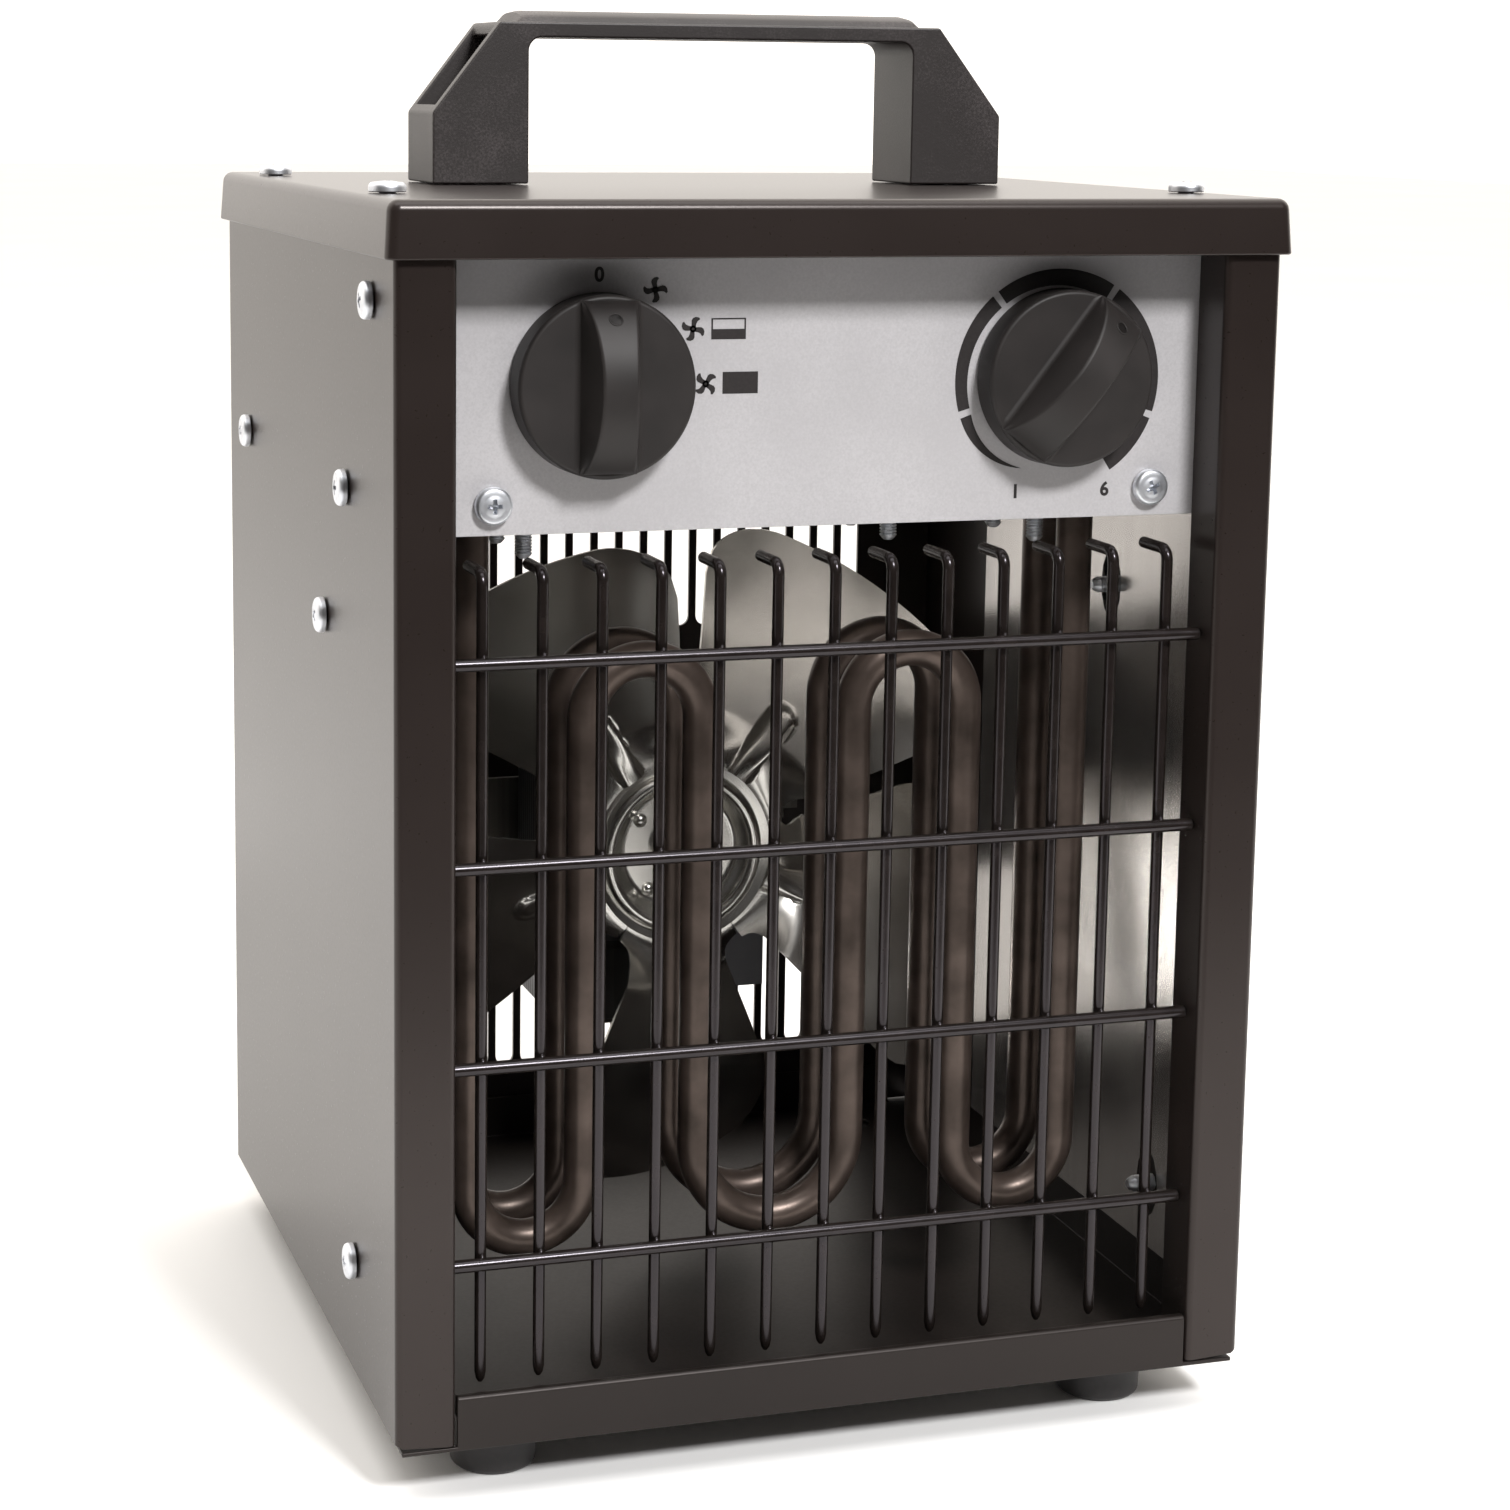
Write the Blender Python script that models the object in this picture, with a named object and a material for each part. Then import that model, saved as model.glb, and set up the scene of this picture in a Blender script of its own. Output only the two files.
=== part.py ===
# Greenhouse fan heater: folded steel casing, wire guard, two tubular heating elements,
# a five-bladed fan on a shaded-pole motor, and a compartment above for the controls.
# Lengths are in millimetres. x runs to the right, y from the front to the rear, z up.
# The shapes are drawn from the casing's front plane (y = 0) and its lower edge (z = 0).
# An empty carries that frame to the middle of the foot print, with the floor at z = 0.

import math

import bmesh
import bpy
from mathutils import Matrix, Vector

MM = 0.001

# Casing
BODY_W = 200.0
BODY_D = 199.0
BODY_H = 267.5
SHEET = 1.0
GAP = 0.3
BEND_R = 0.6

# Lid
LID_SKIRT = 12.2
LID_FLARE = 0.8
LID_EDGE_R = 1.5
LID_SCREW_INSET = 6.3
LID_SCREW_FRONT = 35.0
LID_SCREW_REAR = 34.0

# Front pillars and bottom rail
PILLAR_W = 13.25
PILLAR_DEPTH = 13.0
RAIL_H = 11.0
RAIL_HEM = 2.6

# Feet
FOOT_H = 10.8
FOOT_R = 10.0
FOOT_SIDE = 26.3
FOOT_END = 19.0
FOOT_PIN_R = 3.8
FOOT_BARB_R = 5.2

# Control panel and the floor of its compartment
COMPARTMENT_H = 71.2
PANEL_LIP = 7.0
PANEL_WING = 20.0
WING_HALF = 14.0
PANEL_SCREW_SIDE = 24.0
PANEL_SCREW_RISE = 6.5
FLOOR_UPSTAND = 12.5

# Knobs
KNOB_SIDE = 47.0
KNOB_RISE = 31.7
KNOB_R = 19.6
KNOB_DISC = 7.5
KNOB_CREST = 10.0
KNOB_GAP = 0.6
GRIP_BASE = 12.4
GRIP_CREST = 8.0
DIAL_REST = 38.0
SPINDLE_R = 3.0
SWITCH_W = 32.0
SWITCH_D = 26.0
THERMOSTAT_W = 36.0
THERMOSTAT_H = 30.0
THERMOSTAT_D = 22.0

# Wire guard
GUARD_WIRE_R = 1.45
GUARD_BAR_R = 1.3
GUARD_ROWS = 4
GUARD_ROW_ABOVE = 27.0
GUARD_ROW_BELOW = 20.5
GUARD_BARS = 13
GUARD_BAR_SIDE = 7.25
GUARD_BEND = 2.6
GUARD_WIRE_Y = 6.5
GUARD_BAR_DROP = 5.8
GUARD_BAR_BACK = 12.0

# Heating elements
TUBE_R = 4.25
LEG_INNER = 18.5
LEG_MIDDLE = 46.0
LEG_SIDE = 27.0
ELEMENT_FRONT = 45.0
ELEMENT_STEP = 19.0
ELEMENT_LOW = 28.2
ELEMENT_DROP = 33.9
ELEMENT_TAIL = 8.0
CLAMP_T = 1.5
CLAMP_REACH = 11.5
CLAMP_BORDER = 8.0
CLAMP_SCREW_INSET = 3.0
CLAMP_SCREW_OUTSET = 2.0

# Fan and motor
FAN_RISE = 0.85
FAN_REAR = 84.0
FAN_R = 84.0
FAN_BLADES = 5
FAN_SHEET = 1.2
FAN_PITCH = -0.50
FAN_FIRST = 37.7
FAN_ROOT_HALF = 14.0
FAN_HALF = 27.5
FAN_RING_R = 19.5
FAN_TIP_ROUND = 15.0
MOTOR_SHAFT_R = 3.0
ROTOR_R = 14.5
ROTOR_GAP = 0.7
STATOR_W = 62.0
STATOR_UP = 22.0
STATOR_DOWN = 44.0
STATOR_T = 20.0
STATOR_STEP = 25.0
CORE_BAND = 10.0
COIL_W = 32.0
BRIDGE_W = 54.0
BRIDGE_T = 2.2
BRIDGE_HALF = 7.0
BEARING_R = 8.0
BEARING_L = 6.0
MOUNT_HALF = 45.0
MOUNT_FOOT = 15.0
MOUNT_T = 1.5
MOUNT_TALL = 20.0

# Carry handle
HANDLE_HALF = 70.8
HANDLE_LEG = 23.0
HANDLE_SHIFT = 3.5
HANDLE_D = 26.0
HANDLE_SHOULDER = 16.7
HANDLE_TOP = 37.6
HANDLE_TOP_HALF = 54.7
HANDLE_BAR = 3.5
HANDLE_CROWN = 2.8

# Rear panel slots
SLOT_PITCH = 7.13
SLOT_W = 5.07
SLOT_SIDE = 22.6
SLOT_L = 48.0
SLOT_LOW = 20.0
SLOT_DROP = 5.8

# Screws
M4_R = 2.0
M4_HEAD_R = 4.1
M4_HEAD_H = 2.4
M4_HOLE_R = 2.45
SIDE_SCREW_L = 9.0
LID_SCREW_L = 9.0
PANEL_SCREW_L = 9.0
HANDLE_SCREW_L = 12.0
CLAMP_SCREW_L = 12.0

# Cable gland
GLAND_SIDE = 40.0
GLAND_RISE = 35.7
GLAND_NECK_R = 7.6
GLAND_R = 11.0
GLAND_BORE = 4.0
GLAND_OUT = 9.0

# Derived planes
HALF_W = BODY_W / 2.0
WALL_IN = HALF_W - SHEET
LID_UNDER = BODY_H - SHEET
WALL_TOP = LID_UNDER - GAP
PANEL_LOW = BODY_H - COMPARTMENT_H
PANEL_Y = PILLAR_DEPTH + GAP
PANEL_BACK = PANEL_Y + SHEET
FLOOR_Z = PANEL_LOW + SHEET + GAP
FLOOR_TOP = FLOOR_Z + SHEET
FLANGE_X = WALL_IN - GAP - 0.1
REAR_Y = BODY_D - SHEET - GAP - SHEET
BASE_TOP = -GAP
BASE_BOTTOM = BASE_TOP - SHEET
FOOT_TOP = BASE_BOTTOM - GAP
REAR_OUT = REAR_Y + SHEET
FOOT_X = HALF_W - FOOT_SIDE
FOOT_Y_FRONT = FOOT_END
FOOT_Y_REAR = BODY_D - FOOT_END
LID_SCREW_Y = (LID_SCREW_FRONT, BODY_D - LID_SCREW_REAR)
PANEL_SCREW_X = HALF_W - PANEL_SCREW_SIDE
PANEL_SCREW_Z = PANEL_LOW + PANEL_SCREW_RISE
KNOB_X = HALF_W - KNOB_SIDE
KNOB_Z = PANEL_LOW + KNOB_RISE
HANDLE_Y = BODY_D / 2.0 + HANDLE_SHIFT - HANDLE_D / 2.0
GLAND_X = -HALF_W + GLAND_SIDE
GLAND_Z = PANEL_LOW + GLAND_RISE

# Side screws: through the control panel's wing, the rear panel's tab, the upstand of
# the compartment floor, the liner alone, and the base tray
WING_SCREW = (22.4, BODY_H - 21.8)
TAB_SCREW = (BODY_D - 29.7, PANEL_LOW + 6.4)
FLOOR_SCREW = (48.9, PANEL_LOW + 6.6)
LINER_SCREW = (73.0, PANEL_LOW - 25.6)
TRAY_SCREW = (42.1, 27.8)
SIDE_SCREWS = (WING_SCREW, TAB_SCREW, FLOOR_SCREW, LINER_SCREW, TRAY_SCREW)

# Guard, elements and fan in the duct
GUARD_REACH = HALF_W - PILLAR_W - GAP
GUARD_BAR_PITCH = 2.0 * (GUARD_REACH - GUARD_BAR_SIDE) / (GUARD_BARS - 1)
GUARD_BAR_Y = GUARD_WIRE_Y + GUARD_WIRE_R + GUARD_BAR_R - 0.25
GUARD_BAR_TOP = PANEL_LOW - GUARD_BAR_DROP
GUARD_ROW_LOW = RAIL_H + GUARD_ROW_ABOVE
GUARD_ROW_PITCH = (GUARD_BAR_TOP - GUARD_ROW_BELOW - GUARD_ROW_LOW) / (GUARD_ROWS - 1)
LEG_OUTER = HALF_W - LEG_SIDE
ELEMENT_Y = (ELEMENT_FRONT, ELEMENT_FRONT + ELEMENT_STEP)
ELEMENT_HIGH = PANEL_LOW - ELEMENT_DROP
FAN_Z = PANEL_LOW / 2.0 + FAN_RISE
FAN_Y = BODY_D - FAN_REAR
STATOR_FRONT = FAN_Y + STATOR_STEP
STATOR_BACK = STATOR_FRONT + STATOR_T
SLOT_COUNT = int(2.0 * (HALF_W - SLOT_SIDE) / SLOT_PITCH) + 1
SLOT_ROWS = ((SLOT_LOW, SLOT_LOW + SLOT_L), (PANEL_LOW - SLOT_DROP - SLOT_L, PANEL_LOW - SLOT_DROP))

FRONT_EXTENT = PANEL_Y - KNOB_GAP - KNOB_DISC - KNOB_CREST
REAR_EXTENT = max(REAR_OUT + GAP + GLAND_OUT, BODY_D + 2.0 * GAP + SHEET)
FRAME_Y = -(FRONT_EXTENT + REAR_EXTENT) / 2.0
FRAME_Z = FOOT_H - FOOT_TOP

for old in list(bpy.data.objects):
    bpy.data.objects.remove(old, do_unlink=True)

FRAME = bpy.data.objects.new("casing_frame", None)
FRAME.location = (0.0, FRAME_Y * MM, FRAME_Z * MM)
bpy.context.scene.collection.objects.link(FRAME)


def material(name, colour, metallic, roughness):
    mat = bpy.data.materials.new(name)
    mat.use_nodes = True
    shader = mat.node_tree.nodes["Principled BSDF"]
    shader.inputs["Base Color"].default_value = (colour[0], colour[1], colour[2], 1.0)
    shader.inputs["Metallic"].default_value = metallic
    shader.inputs["Roughness"].default_value = roughness
    mat.diffuse_color = (colour[0], colour[1], colour[2], 1.0)
    return mat


FINISHES = {
    "black_powder_coat": ((0.040, 0.034, 0.032), 0.0, 0.45),
    "silver_paint": ((0.60, 0.58, 0.57), 0.3, 0.45),
    "black_plastic": ((0.030, 0.028, 0.028), 0.0, 0.50),
    "zinc_steel": ((0.70, 0.70, 0.70), 1.0, 0.25),
    "galvanised_steel": ((0.52, 0.52, 0.50), 1.0, 0.40),
    "oxidised_steel": ((0.085, 0.060, 0.050), 0.6, 0.40),
    "aluminium": ((0.78, 0.78, 0.76), 1.0, 0.25),
    "rubber": ((0.020, 0.020, 0.020), 0.0, 0.80),
    "phenolic": ((0.060, 0.040, 0.030), 0.0, 0.40),
    "white_nylon": ((0.75, 0.74, 0.70), 0.0, 0.45),
    "black_wire": ((0.025, 0.022, 0.025), 0.0, 0.20),
    "lamination": ((0.30, 0.30, 0.31), 0.9, 0.45),
    "coil_tape": ((0.60, 0.45, 0.12), 0.0, 0.50),
}


def publish(name, bm, finish, pivot=(0.0, 0.0, 0.0), smooth=True):
    """Turns a shape drawn in millimetres into a named object of the part."""
    bmesh.ops.translate(bm, verts=bm.verts, vec=-Vector(pivot))
    bmesh.ops.scale(bm, verts=bm.verts, vec=(MM, MM, MM))
    bmesh.ops.recalc_face_normals(bm, faces=bm.faces)
    mesh = bpy.data.meshes.new(name)
    bm.to_mesh(mesh)
    bm.free()
    if smooth:
        mesh.shade_smooth()
        mesh.set_sharp_from_angle(angle=math.radians(35.0))
    colour, metallic, roughness = FINISHES[finish]
    mesh.materials.append(material(name + "_" + finish, colour, metallic, roughness))
    obj = bpy.data.objects.new(name, mesh)
    obj.location = Vector(pivot) * MM
    obj.parent = FRAME
    bpy.context.scene.collection.objects.link(obj)
    return obj


def box(x0, x1, y0, y1, z0, z1):
    bm = bmesh.new()
    bmesh.ops.create_cube(bm, size=1.0)
    bmesh.ops.scale(bm, verts=bm.verts, vec=(x1 - x0, y1 - y0, z1 - z0))
    bmesh.ops.translate(bm, verts=bm.verts, vec=((x0 + x1) / 2.0, (y0 + y1) / 2.0, (z0 + z1) / 2.0))
    return bm


AXIS_TURN = {
    "x": Matrix(((0, 0, 1), (1, 0, 0), (0, 1, 0))),
    "y": Matrix(((1, 0, 0), (0, 0, 1), (0, -1, 0))),
    "z": Matrix(((1, 0, 0), (0, 1, 0), (0, 0, 1))),
}


def turned(profile, centre, axis, segments=16, closed=False):
    """Turns a profile of (radius, height) pairs about an axis; height runs along the axis."""
    bm = bmesh.new()
    rings = []
    for radius, height in profile:
        if radius < 1e-6:
            rings.append([bm.verts.new((0.0, 0.0, height))])
            continue
        ring = []
        for i in range(segments):
            a = 2.0 * math.pi * i / segments
            ring.append(bm.verts.new((radius * math.cos(a), radius * math.sin(a), height)))
        rings.append(ring)
    pairs = list(zip(rings[:-1], rings[1:]))
    if closed:
        pairs.append((rings[-1], rings[0]))
    for low, high in pairs:
        for i in range(segments):
            j = (i + 1) % segments
            if len(low) == 1 and len(high) == 1:
                continue
            if len(low) == 1:
                bm.faces.new((low[0], high[j], high[i]))
            elif len(high) == 1:
                bm.faces.new((low[i], low[j], high[0]))
            else:
                bm.faces.new((low[i], low[j], high[j], high[i]))
    for ring in (rings[0], rings[-1]):
        if len(ring) > 1 and not closed:
            bm.faces.new(ring)
    turn = AXIS_TURN[axis].to_4x4()
    bmesh.ops.transform(bm, matrix=turn, verts=bm.verts)
    bmesh.ops.translate(bm, verts=bm.verts, vec=centre)
    bmesh.ops.recalc_face_normals(bm, faces=bm.faces)
    return bm


def rod(centre, axis, radius, length, segments=8):
    """A plain cylinder that starts at centre and runs along +axis."""
    return turned([(radius, 0.0), (radius, length)], centre, axis, segments)


def prism(points, axis, start, end):
    """Extrudes an outline. Its points are (y, z), (x, z) or (x, y) for axis x, y or z."""
    bm = bmesh.new()
    place = {
        "x": lambda p, h: (h, p[0], p[1]),
        "y": lambda p, h: (p[0], h, p[1]),
        "z": lambda p, h: (p[0], p[1], h),
    }[axis]
    low = [bm.verts.new(place(p, start)) for p in points]
    high = [bm.verts.new(place(p, end)) for p in points]
    bm.faces.new(low)
    bm.faces.new(high)
    for i in range(len(points)):
        j = (i + 1) % len(points)
        bm.faces.new((low[i], low[j], high[j], high[i]))
    bmesh.ops.recalc_face_normals(bm, faces=bm.faces)
    return bm


def swept(path, radii, segments=10):
    """A round bar along a path of points, with one radius for each point."""
    bm = bmesh.new()
    points = [Vector(p) for p in path]
    tangents = []
    for i in range(len(points)):
        before = points[i] - points[max(i - 1, 0)]
        after = points[min(i + 1, len(points) - 1)] - points[i]
        tangent = before.normalized() + after.normalized()
        tangents.append(tangent.normalized())
    side = tangents[0].orthogonal().normalized()
    rings = []
    for i, point in enumerate(points):
        side = (side - tangents[i] * side.dot(tangents[i])).normalized()
        other = tangents[i].cross(side)
        ring = []
        for k in range(segments):
            a = 2.0 * math.pi * (k + 0.5) / segments
            ring.append(bm.verts.new(point + (side * math.cos(a) + other * math.sin(a)) * radii[i]))
        rings.append(ring)
    for low, high in zip(rings[:-1], rings[1:]):
        for k in range(segments):
            j = (k + 1) % segments
            bm.faces.new((low[k], low[j], high[j], high[k]))
    bm.faces.new(rings[0])
    bm.faces.new(rings[-1])
    bmesh.ops.recalc_face_normals(bm, faces=bm.faces)
    return bm


def folded(path, thickness, radius, steps=2):
    """The cut outline of a folded sheet whose middle follows the path."""
    line = []
    points = [Vector(p) for p in path]
    for i, point in enumerate(points):
        if i == 0 or i == len(points) - 1:
            step = points[1] - points[0] if i == 0 else points[-1] - points[-2]
            line.append((point, Vector((-step.y, step.x)).normalized()))
            continue
        into = (point - points[i - 1]).normalized()
        out = (points[i + 1] - point).normalized()
        n_in = Vector((-into.y, into.x))
        n_out = Vector((-out.y, out.x))
        cut = radius + thickness / 2.0
        start = point - into * cut
        turn = 1.0 if into.x * out.y - into.y * out.x > 0.0 else -1.0
        centre = start + n_in * cut * turn
        for k in range(steps + 1):
            a = (math.pi / 2.0) * k / steps
            normal = n_in * math.cos(a) + n_out * math.sin(a)
            line.append((centre - normal * cut * turn, normal))
    half = thickness / 2.0
    left = [p + n * half for p, n in line]
    right = [p - n * half for p, n in line]
    return [(p.x, p.y) for p in left + right[::-1]]


def boolean(base, tool, operation):
    """Joins two closed shapes, or cuts one with the other, and returns the result."""
    objects = []
    for bm in (base, tool):
        mesh = bpy.data.meshes.new("work")
        bmesh.ops.recalc_face_normals(bm, faces=bm.faces)
        bm.to_mesh(mesh)
        bm.free()
        obj = bpy.data.objects.new("work", mesh)
        bpy.context.scene.collection.objects.link(obj)
        objects.append(obj)
    step = objects[0].modifiers.new("Boolean", "BOOLEAN")
    step.operation = operation
    step.solver = "EXACT"
    step.object = objects[1]
    bpy.context.view_layer.update()
    graph = bpy.context.evaluated_depsgraph_get()
    mesh = bpy.data.meshes.new_from_object(objects[0].evaluated_get(graph))
    result = bmesh.new()
    result.from_mesh(mesh)
    bpy.data.meshes.remove(mesh)
    for obj in objects:
        data = obj.data
        bpy.data.objects.remove(obj, do_unlink=True)
        bpy.data.meshes.remove(data)
    bmesh.ops.remove_doubles(result, verts=result.verts, dist=0.0005)
    return result


def fused(*shapes):
    whole = shapes[0]
    for shape in shapes[1:]:
        whole = boolean(whole, shape, "UNION")
    return whole


def together(*shapes):
    """Puts separate shapes into one mesh, for use as one cutter."""
    whole = shapes[0]
    for shape in shapes[1:]:
        mesh = bpy.data.meshes.new("work")
        shape.to_mesh(mesh)
        shape.free()
        whole.from_mesh(mesh)
        bpy.data.meshes.remove(mesh)
    return whole


def cut(base, *tools):
    return boolean(base, together(*tools), "DIFFERENCE")


def mirrored(bm):
    bmesh.ops.scale(bm, verts=bm.verts, vec=(-1.0, 1.0, 1.0))
    bmesh.ops.reverse_faces(bm, faces=bm.faces)
    return bm


def sided(bm, side):
    """Shapes are drawn on the right; side -1 mirrors them to the left."""
    return mirrored(bm) if side < 0 else bm


SIDES = ((-1, "left"), (1, "right"))


# Casing sheets

def side_panel(side):
    half = SHEET / 2.0
    plan = [
        (HALF_W - PILLAR_W + half, PILLAR_DEPTH),
        (HALF_W - PILLAR_W + half, half),
        (HALF_W - half, half),
        (HALF_W - half, BODY_D - half),
        (HALF_W - 12.0, BODY_D - half),
    ]
    wall = prism(folded(plan, SHEET, BEND_R), "z", 0.0, WALL_TOP)
    flange = box(HALF_W - LID_SCREW_INSET - 7.7, HALF_W - half, PANEL_BACK + GAP, REAR_Y - 2.0,
                 WALL_TOP - SHEET, WALL_TOP)
    panel = fused(wall, flange)
    holes = [rod((HALF_W - 5.0, y, z), "x", M4_HOLE_R, 10.0) for y, z in SIDE_SCREWS]
    holes += [rod((HALF_W - LID_SCREW_INSET, y, WALL_TOP - 4.0), "z", M4_HOLE_R, 8.0) for y in LID_SCREW_Y]
    return sided(cut(panel, *holes), side)


for side, word in SIDES:
    publish("side_panel_" + word, side_panel(side), "black_powder_coat")


def base_tray():
    x_rail = HALF_W - PILLAR_W - GAP - 0.1
    floor = box(-FLANGE_X, FLANGE_X, 0.2, BODY_D - 0.2, BASE_BOTTOM, BASE_TOP)
    hem = [(0.2, BASE_BOTTOM), (0.2, RAIL_H - 0.6), (0.8, RAIL_H), (RAIL_HEM - 0.4, RAIL_H),
           (RAIL_HEM + 0.2, RAIL_H - 0.6), (RAIL_HEM + 0.2, RAIL_H - 5.0),
           (0.2 + SHEET, RAIL_H - 5.0), (0.2 + SHEET, BASE_BOTTOM)]
    rail = prism(hem, "x", -x_rail, x_rail)
    tray = fused(floor, rail)
    for side in (-1, 1):
        upstand = box(FLANGE_X - SHEET, FLANGE_X, TRAY_SCREW[0] - 20.1, BODY_D - 21.0,
                      BASE_BOTTOM, TRAY_SCREW[1] + 8.2)
        tray = fused(tray, sided(upstand, side))
    tray = fused(tray, box(-HALF_W + 10.0, HALF_W - 10.0, REAR_Y - GAP - SHEET, REAR_Y - GAP, BASE_BOTTOM, RAIL_H))
    holes = []
    for side in (-1, 1):
        holes.append(sided(rod((HALF_W - 8.0, *TRAY_SCREW), "x", M4_HOLE_R, 12.0), side))
        for y in (FOOT_Y_FRONT, FOOT_Y_REAR):
            holes.append(rod((side * FOOT_X, y, BASE_BOTTOM - 2.0), "z", FOOT_PIN_R + 0.4, 5.0, 16))
    return cut(tray, *holes)


publish("base_tray", base_tray(), "black_powder_coat")


def rubber_foot(x, y):
    profile = [(0.0, -FOOT_H), (FOOT_R - 1.6, -FOOT_H), (FOOT_R - 0.4, -FOOT_H + 1.2), (FOOT_R, 0.0),
               (FOOT_PIN_R, 0.0), (FOOT_PIN_R, 2.0 * GAP + SHEET), (FOOT_BARB_R, 2.0 * GAP + SHEET),
               (FOOT_PIN_R - 0.4, 2.0 * GAP + SHEET + 3.0), (0.0, 2.0 * GAP + SHEET + 3.0)]
    return turned(profile, (x, y, FOOT_TOP), "z", 16)


for side, word in SIDES:
    for y, place in ((FOOT_Y_FRONT, "front"), (FOOT_Y_REAR, "rear")):
        publish("foot_" + place + "_" + word, rubber_foot(side * FOOT_X, y), "rubber")


def slot_shape(x, z0, z1):
    radius = SLOT_W / 2.0
    outline = []
    for centre, start in ((z1 - radius, 0.0), (z0 + radius, math.pi)):
        for k in range(4):
            a = start + math.pi * k / 3.0
            outline.append((x + radius * math.cos(a), centre + radius * math.sin(a)))
    return prism(outline, "y", REAR_Y - 3.0, REAR_OUT + 3.0)


def rear_panel():
    panel = box(-FLANGE_X, FLANGE_X, REAR_Y, REAR_OUT, GAP, WALL_TOP - GAP)
    for side in (-1, 1):
        tab = box(FLANGE_X - SHEET, FLANGE_X, TAB_SCREW[0] - 8.0, REAR_OUT - 0.2,
                  TAB_SCREW[1] - 13.0, TAB_SCREW[1] + 13.0)
        panel = fused(panel, sided(tab, side))
    tools = []
    for low, high in SLOT_ROWS:
        for i in range(SLOT_COUNT):
            tools.append(slot_shape((i - (SLOT_COUNT - 1) / 2.0) * SLOT_PITCH, low, high))
    tools.append(rod((GLAND_X, REAR_Y - 4.0, GLAND_Z), "y", GLAND_NECK_R + 0.4, 10.0, 20))
    for side in (-1, 1):
        tools.append(sided(rod((HALF_W - 8.0, *TAB_SCREW), "x", M4_HOLE_R, 12.0), side))
    return cut(panel, *tools)


publish("rear_panel", rear_panel(), "black_powder_coat")


def splayed(bm):
    """Leans the lid's skirt outwards, by LID_FLARE at its lower edge."""
    middle = BODY_D / 2.0
    for vert in bm.verts:
        lean = LID_FLARE * (LID_UNDER - min(vert.co.z, LID_UNDER)) / (LID_SKIRT - SHEET)
        vert.co.x += math.copysign(lean, vert.co.x)
        vert.co.y += math.copysign(lean, vert.co.y - middle)
    return bm


def top_cover():
    reach = GAP + SHEET
    outer = box(-HALF_W - reach, HALF_W + reach, -reach, BODY_D + reach, BODY_H - LID_SKIRT, BODY_H)
    edges = [e for e in outer.edges if max(v.co.z for v in e.verts) > BODY_H - 0.1]
    bmesh.ops.bevel(outer, geom=edges, offset=LID_EDGE_R, segments=2, affect="EDGES", profile=0.5)
    inner = box(-HALF_W - GAP, HALF_W + GAP, -GAP, BODY_D + GAP, BODY_H - LID_SKIRT - 5.0, LID_UNDER)
    cover = cut(splayed(outer), splayed(inner))
    drills = []
    for side in (-1, 1):
        drills.append(rod((side * (HANDLE_HALF - HANDLE_LEG / 2.0), HANDLE_Y + HANDLE_D / 2.0, BODY_H - 4.0),
                          "z", M4_HOLE_R, 8.0))
        for y in LID_SCREW_Y:
            drills.append(rod((side * (HALF_W - LID_SCREW_INSET), y, BODY_H - 4.0), "z", M4_HOLE_R, 8.0))
    return cut(cover, *drills)


publish("top_cover", top_cover(), "black_powder_coat")


# Screws

def pan_screw(centre, axis, way, length):
    """A pan-head screw; centre is the middle of the head's flat underside."""
    profile = [(0.0, M4_HEAD_H), (2.6, M4_HEAD_H * 0.86), (M4_HEAD_R, M4_HEAD_H * 0.25), (M4_HEAD_R, 0.0),
               (M4_R, 0.0), (M4_R - 0.2, -length), (0.0, -length)]
    return turned([(r, h * way) for r, h in profile], centre, axis, 10)


for side, word in SIDES:
    for k, (y, z) in enumerate(SIDE_SCREWS):
        screw = pan_screw((side * (HALF_W + GAP), y, z), "x", side, SIDE_SCREW_L)
        publish("side_screw_" + word + "_" + str(k + 1), screw, "zinc_steel")
    for y, place in zip(LID_SCREW_Y, ("front", "rear")):
        screw = pan_screw((side * (HALF_W - LID_SCREW_INSET), y, BODY_H + GAP), "z", 1, LID_SCREW_L)
        publish("lid_screw_" + place + "_" + word, screw, "zinc_steel")
    screw = pan_screw((side * PANEL_SCREW_X, PANEL_Y - GAP, PANEL_SCREW_Z), "y", -1, PANEL_SCREW_L)
    publish("panel_screw_" + word, screw, "zinc_steel")
    x = side * (HANDLE_HALF - HANDLE_LEG / 2.0)
    screw = pan_screw((x, HANDLE_Y + HANDLE_D / 2.0, LID_UNDER - GAP), "z", -1, HANDLE_SCREW_L)
    publish("handle_screw_" + word, screw, "zinc_steel")


# Carry handle

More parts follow.
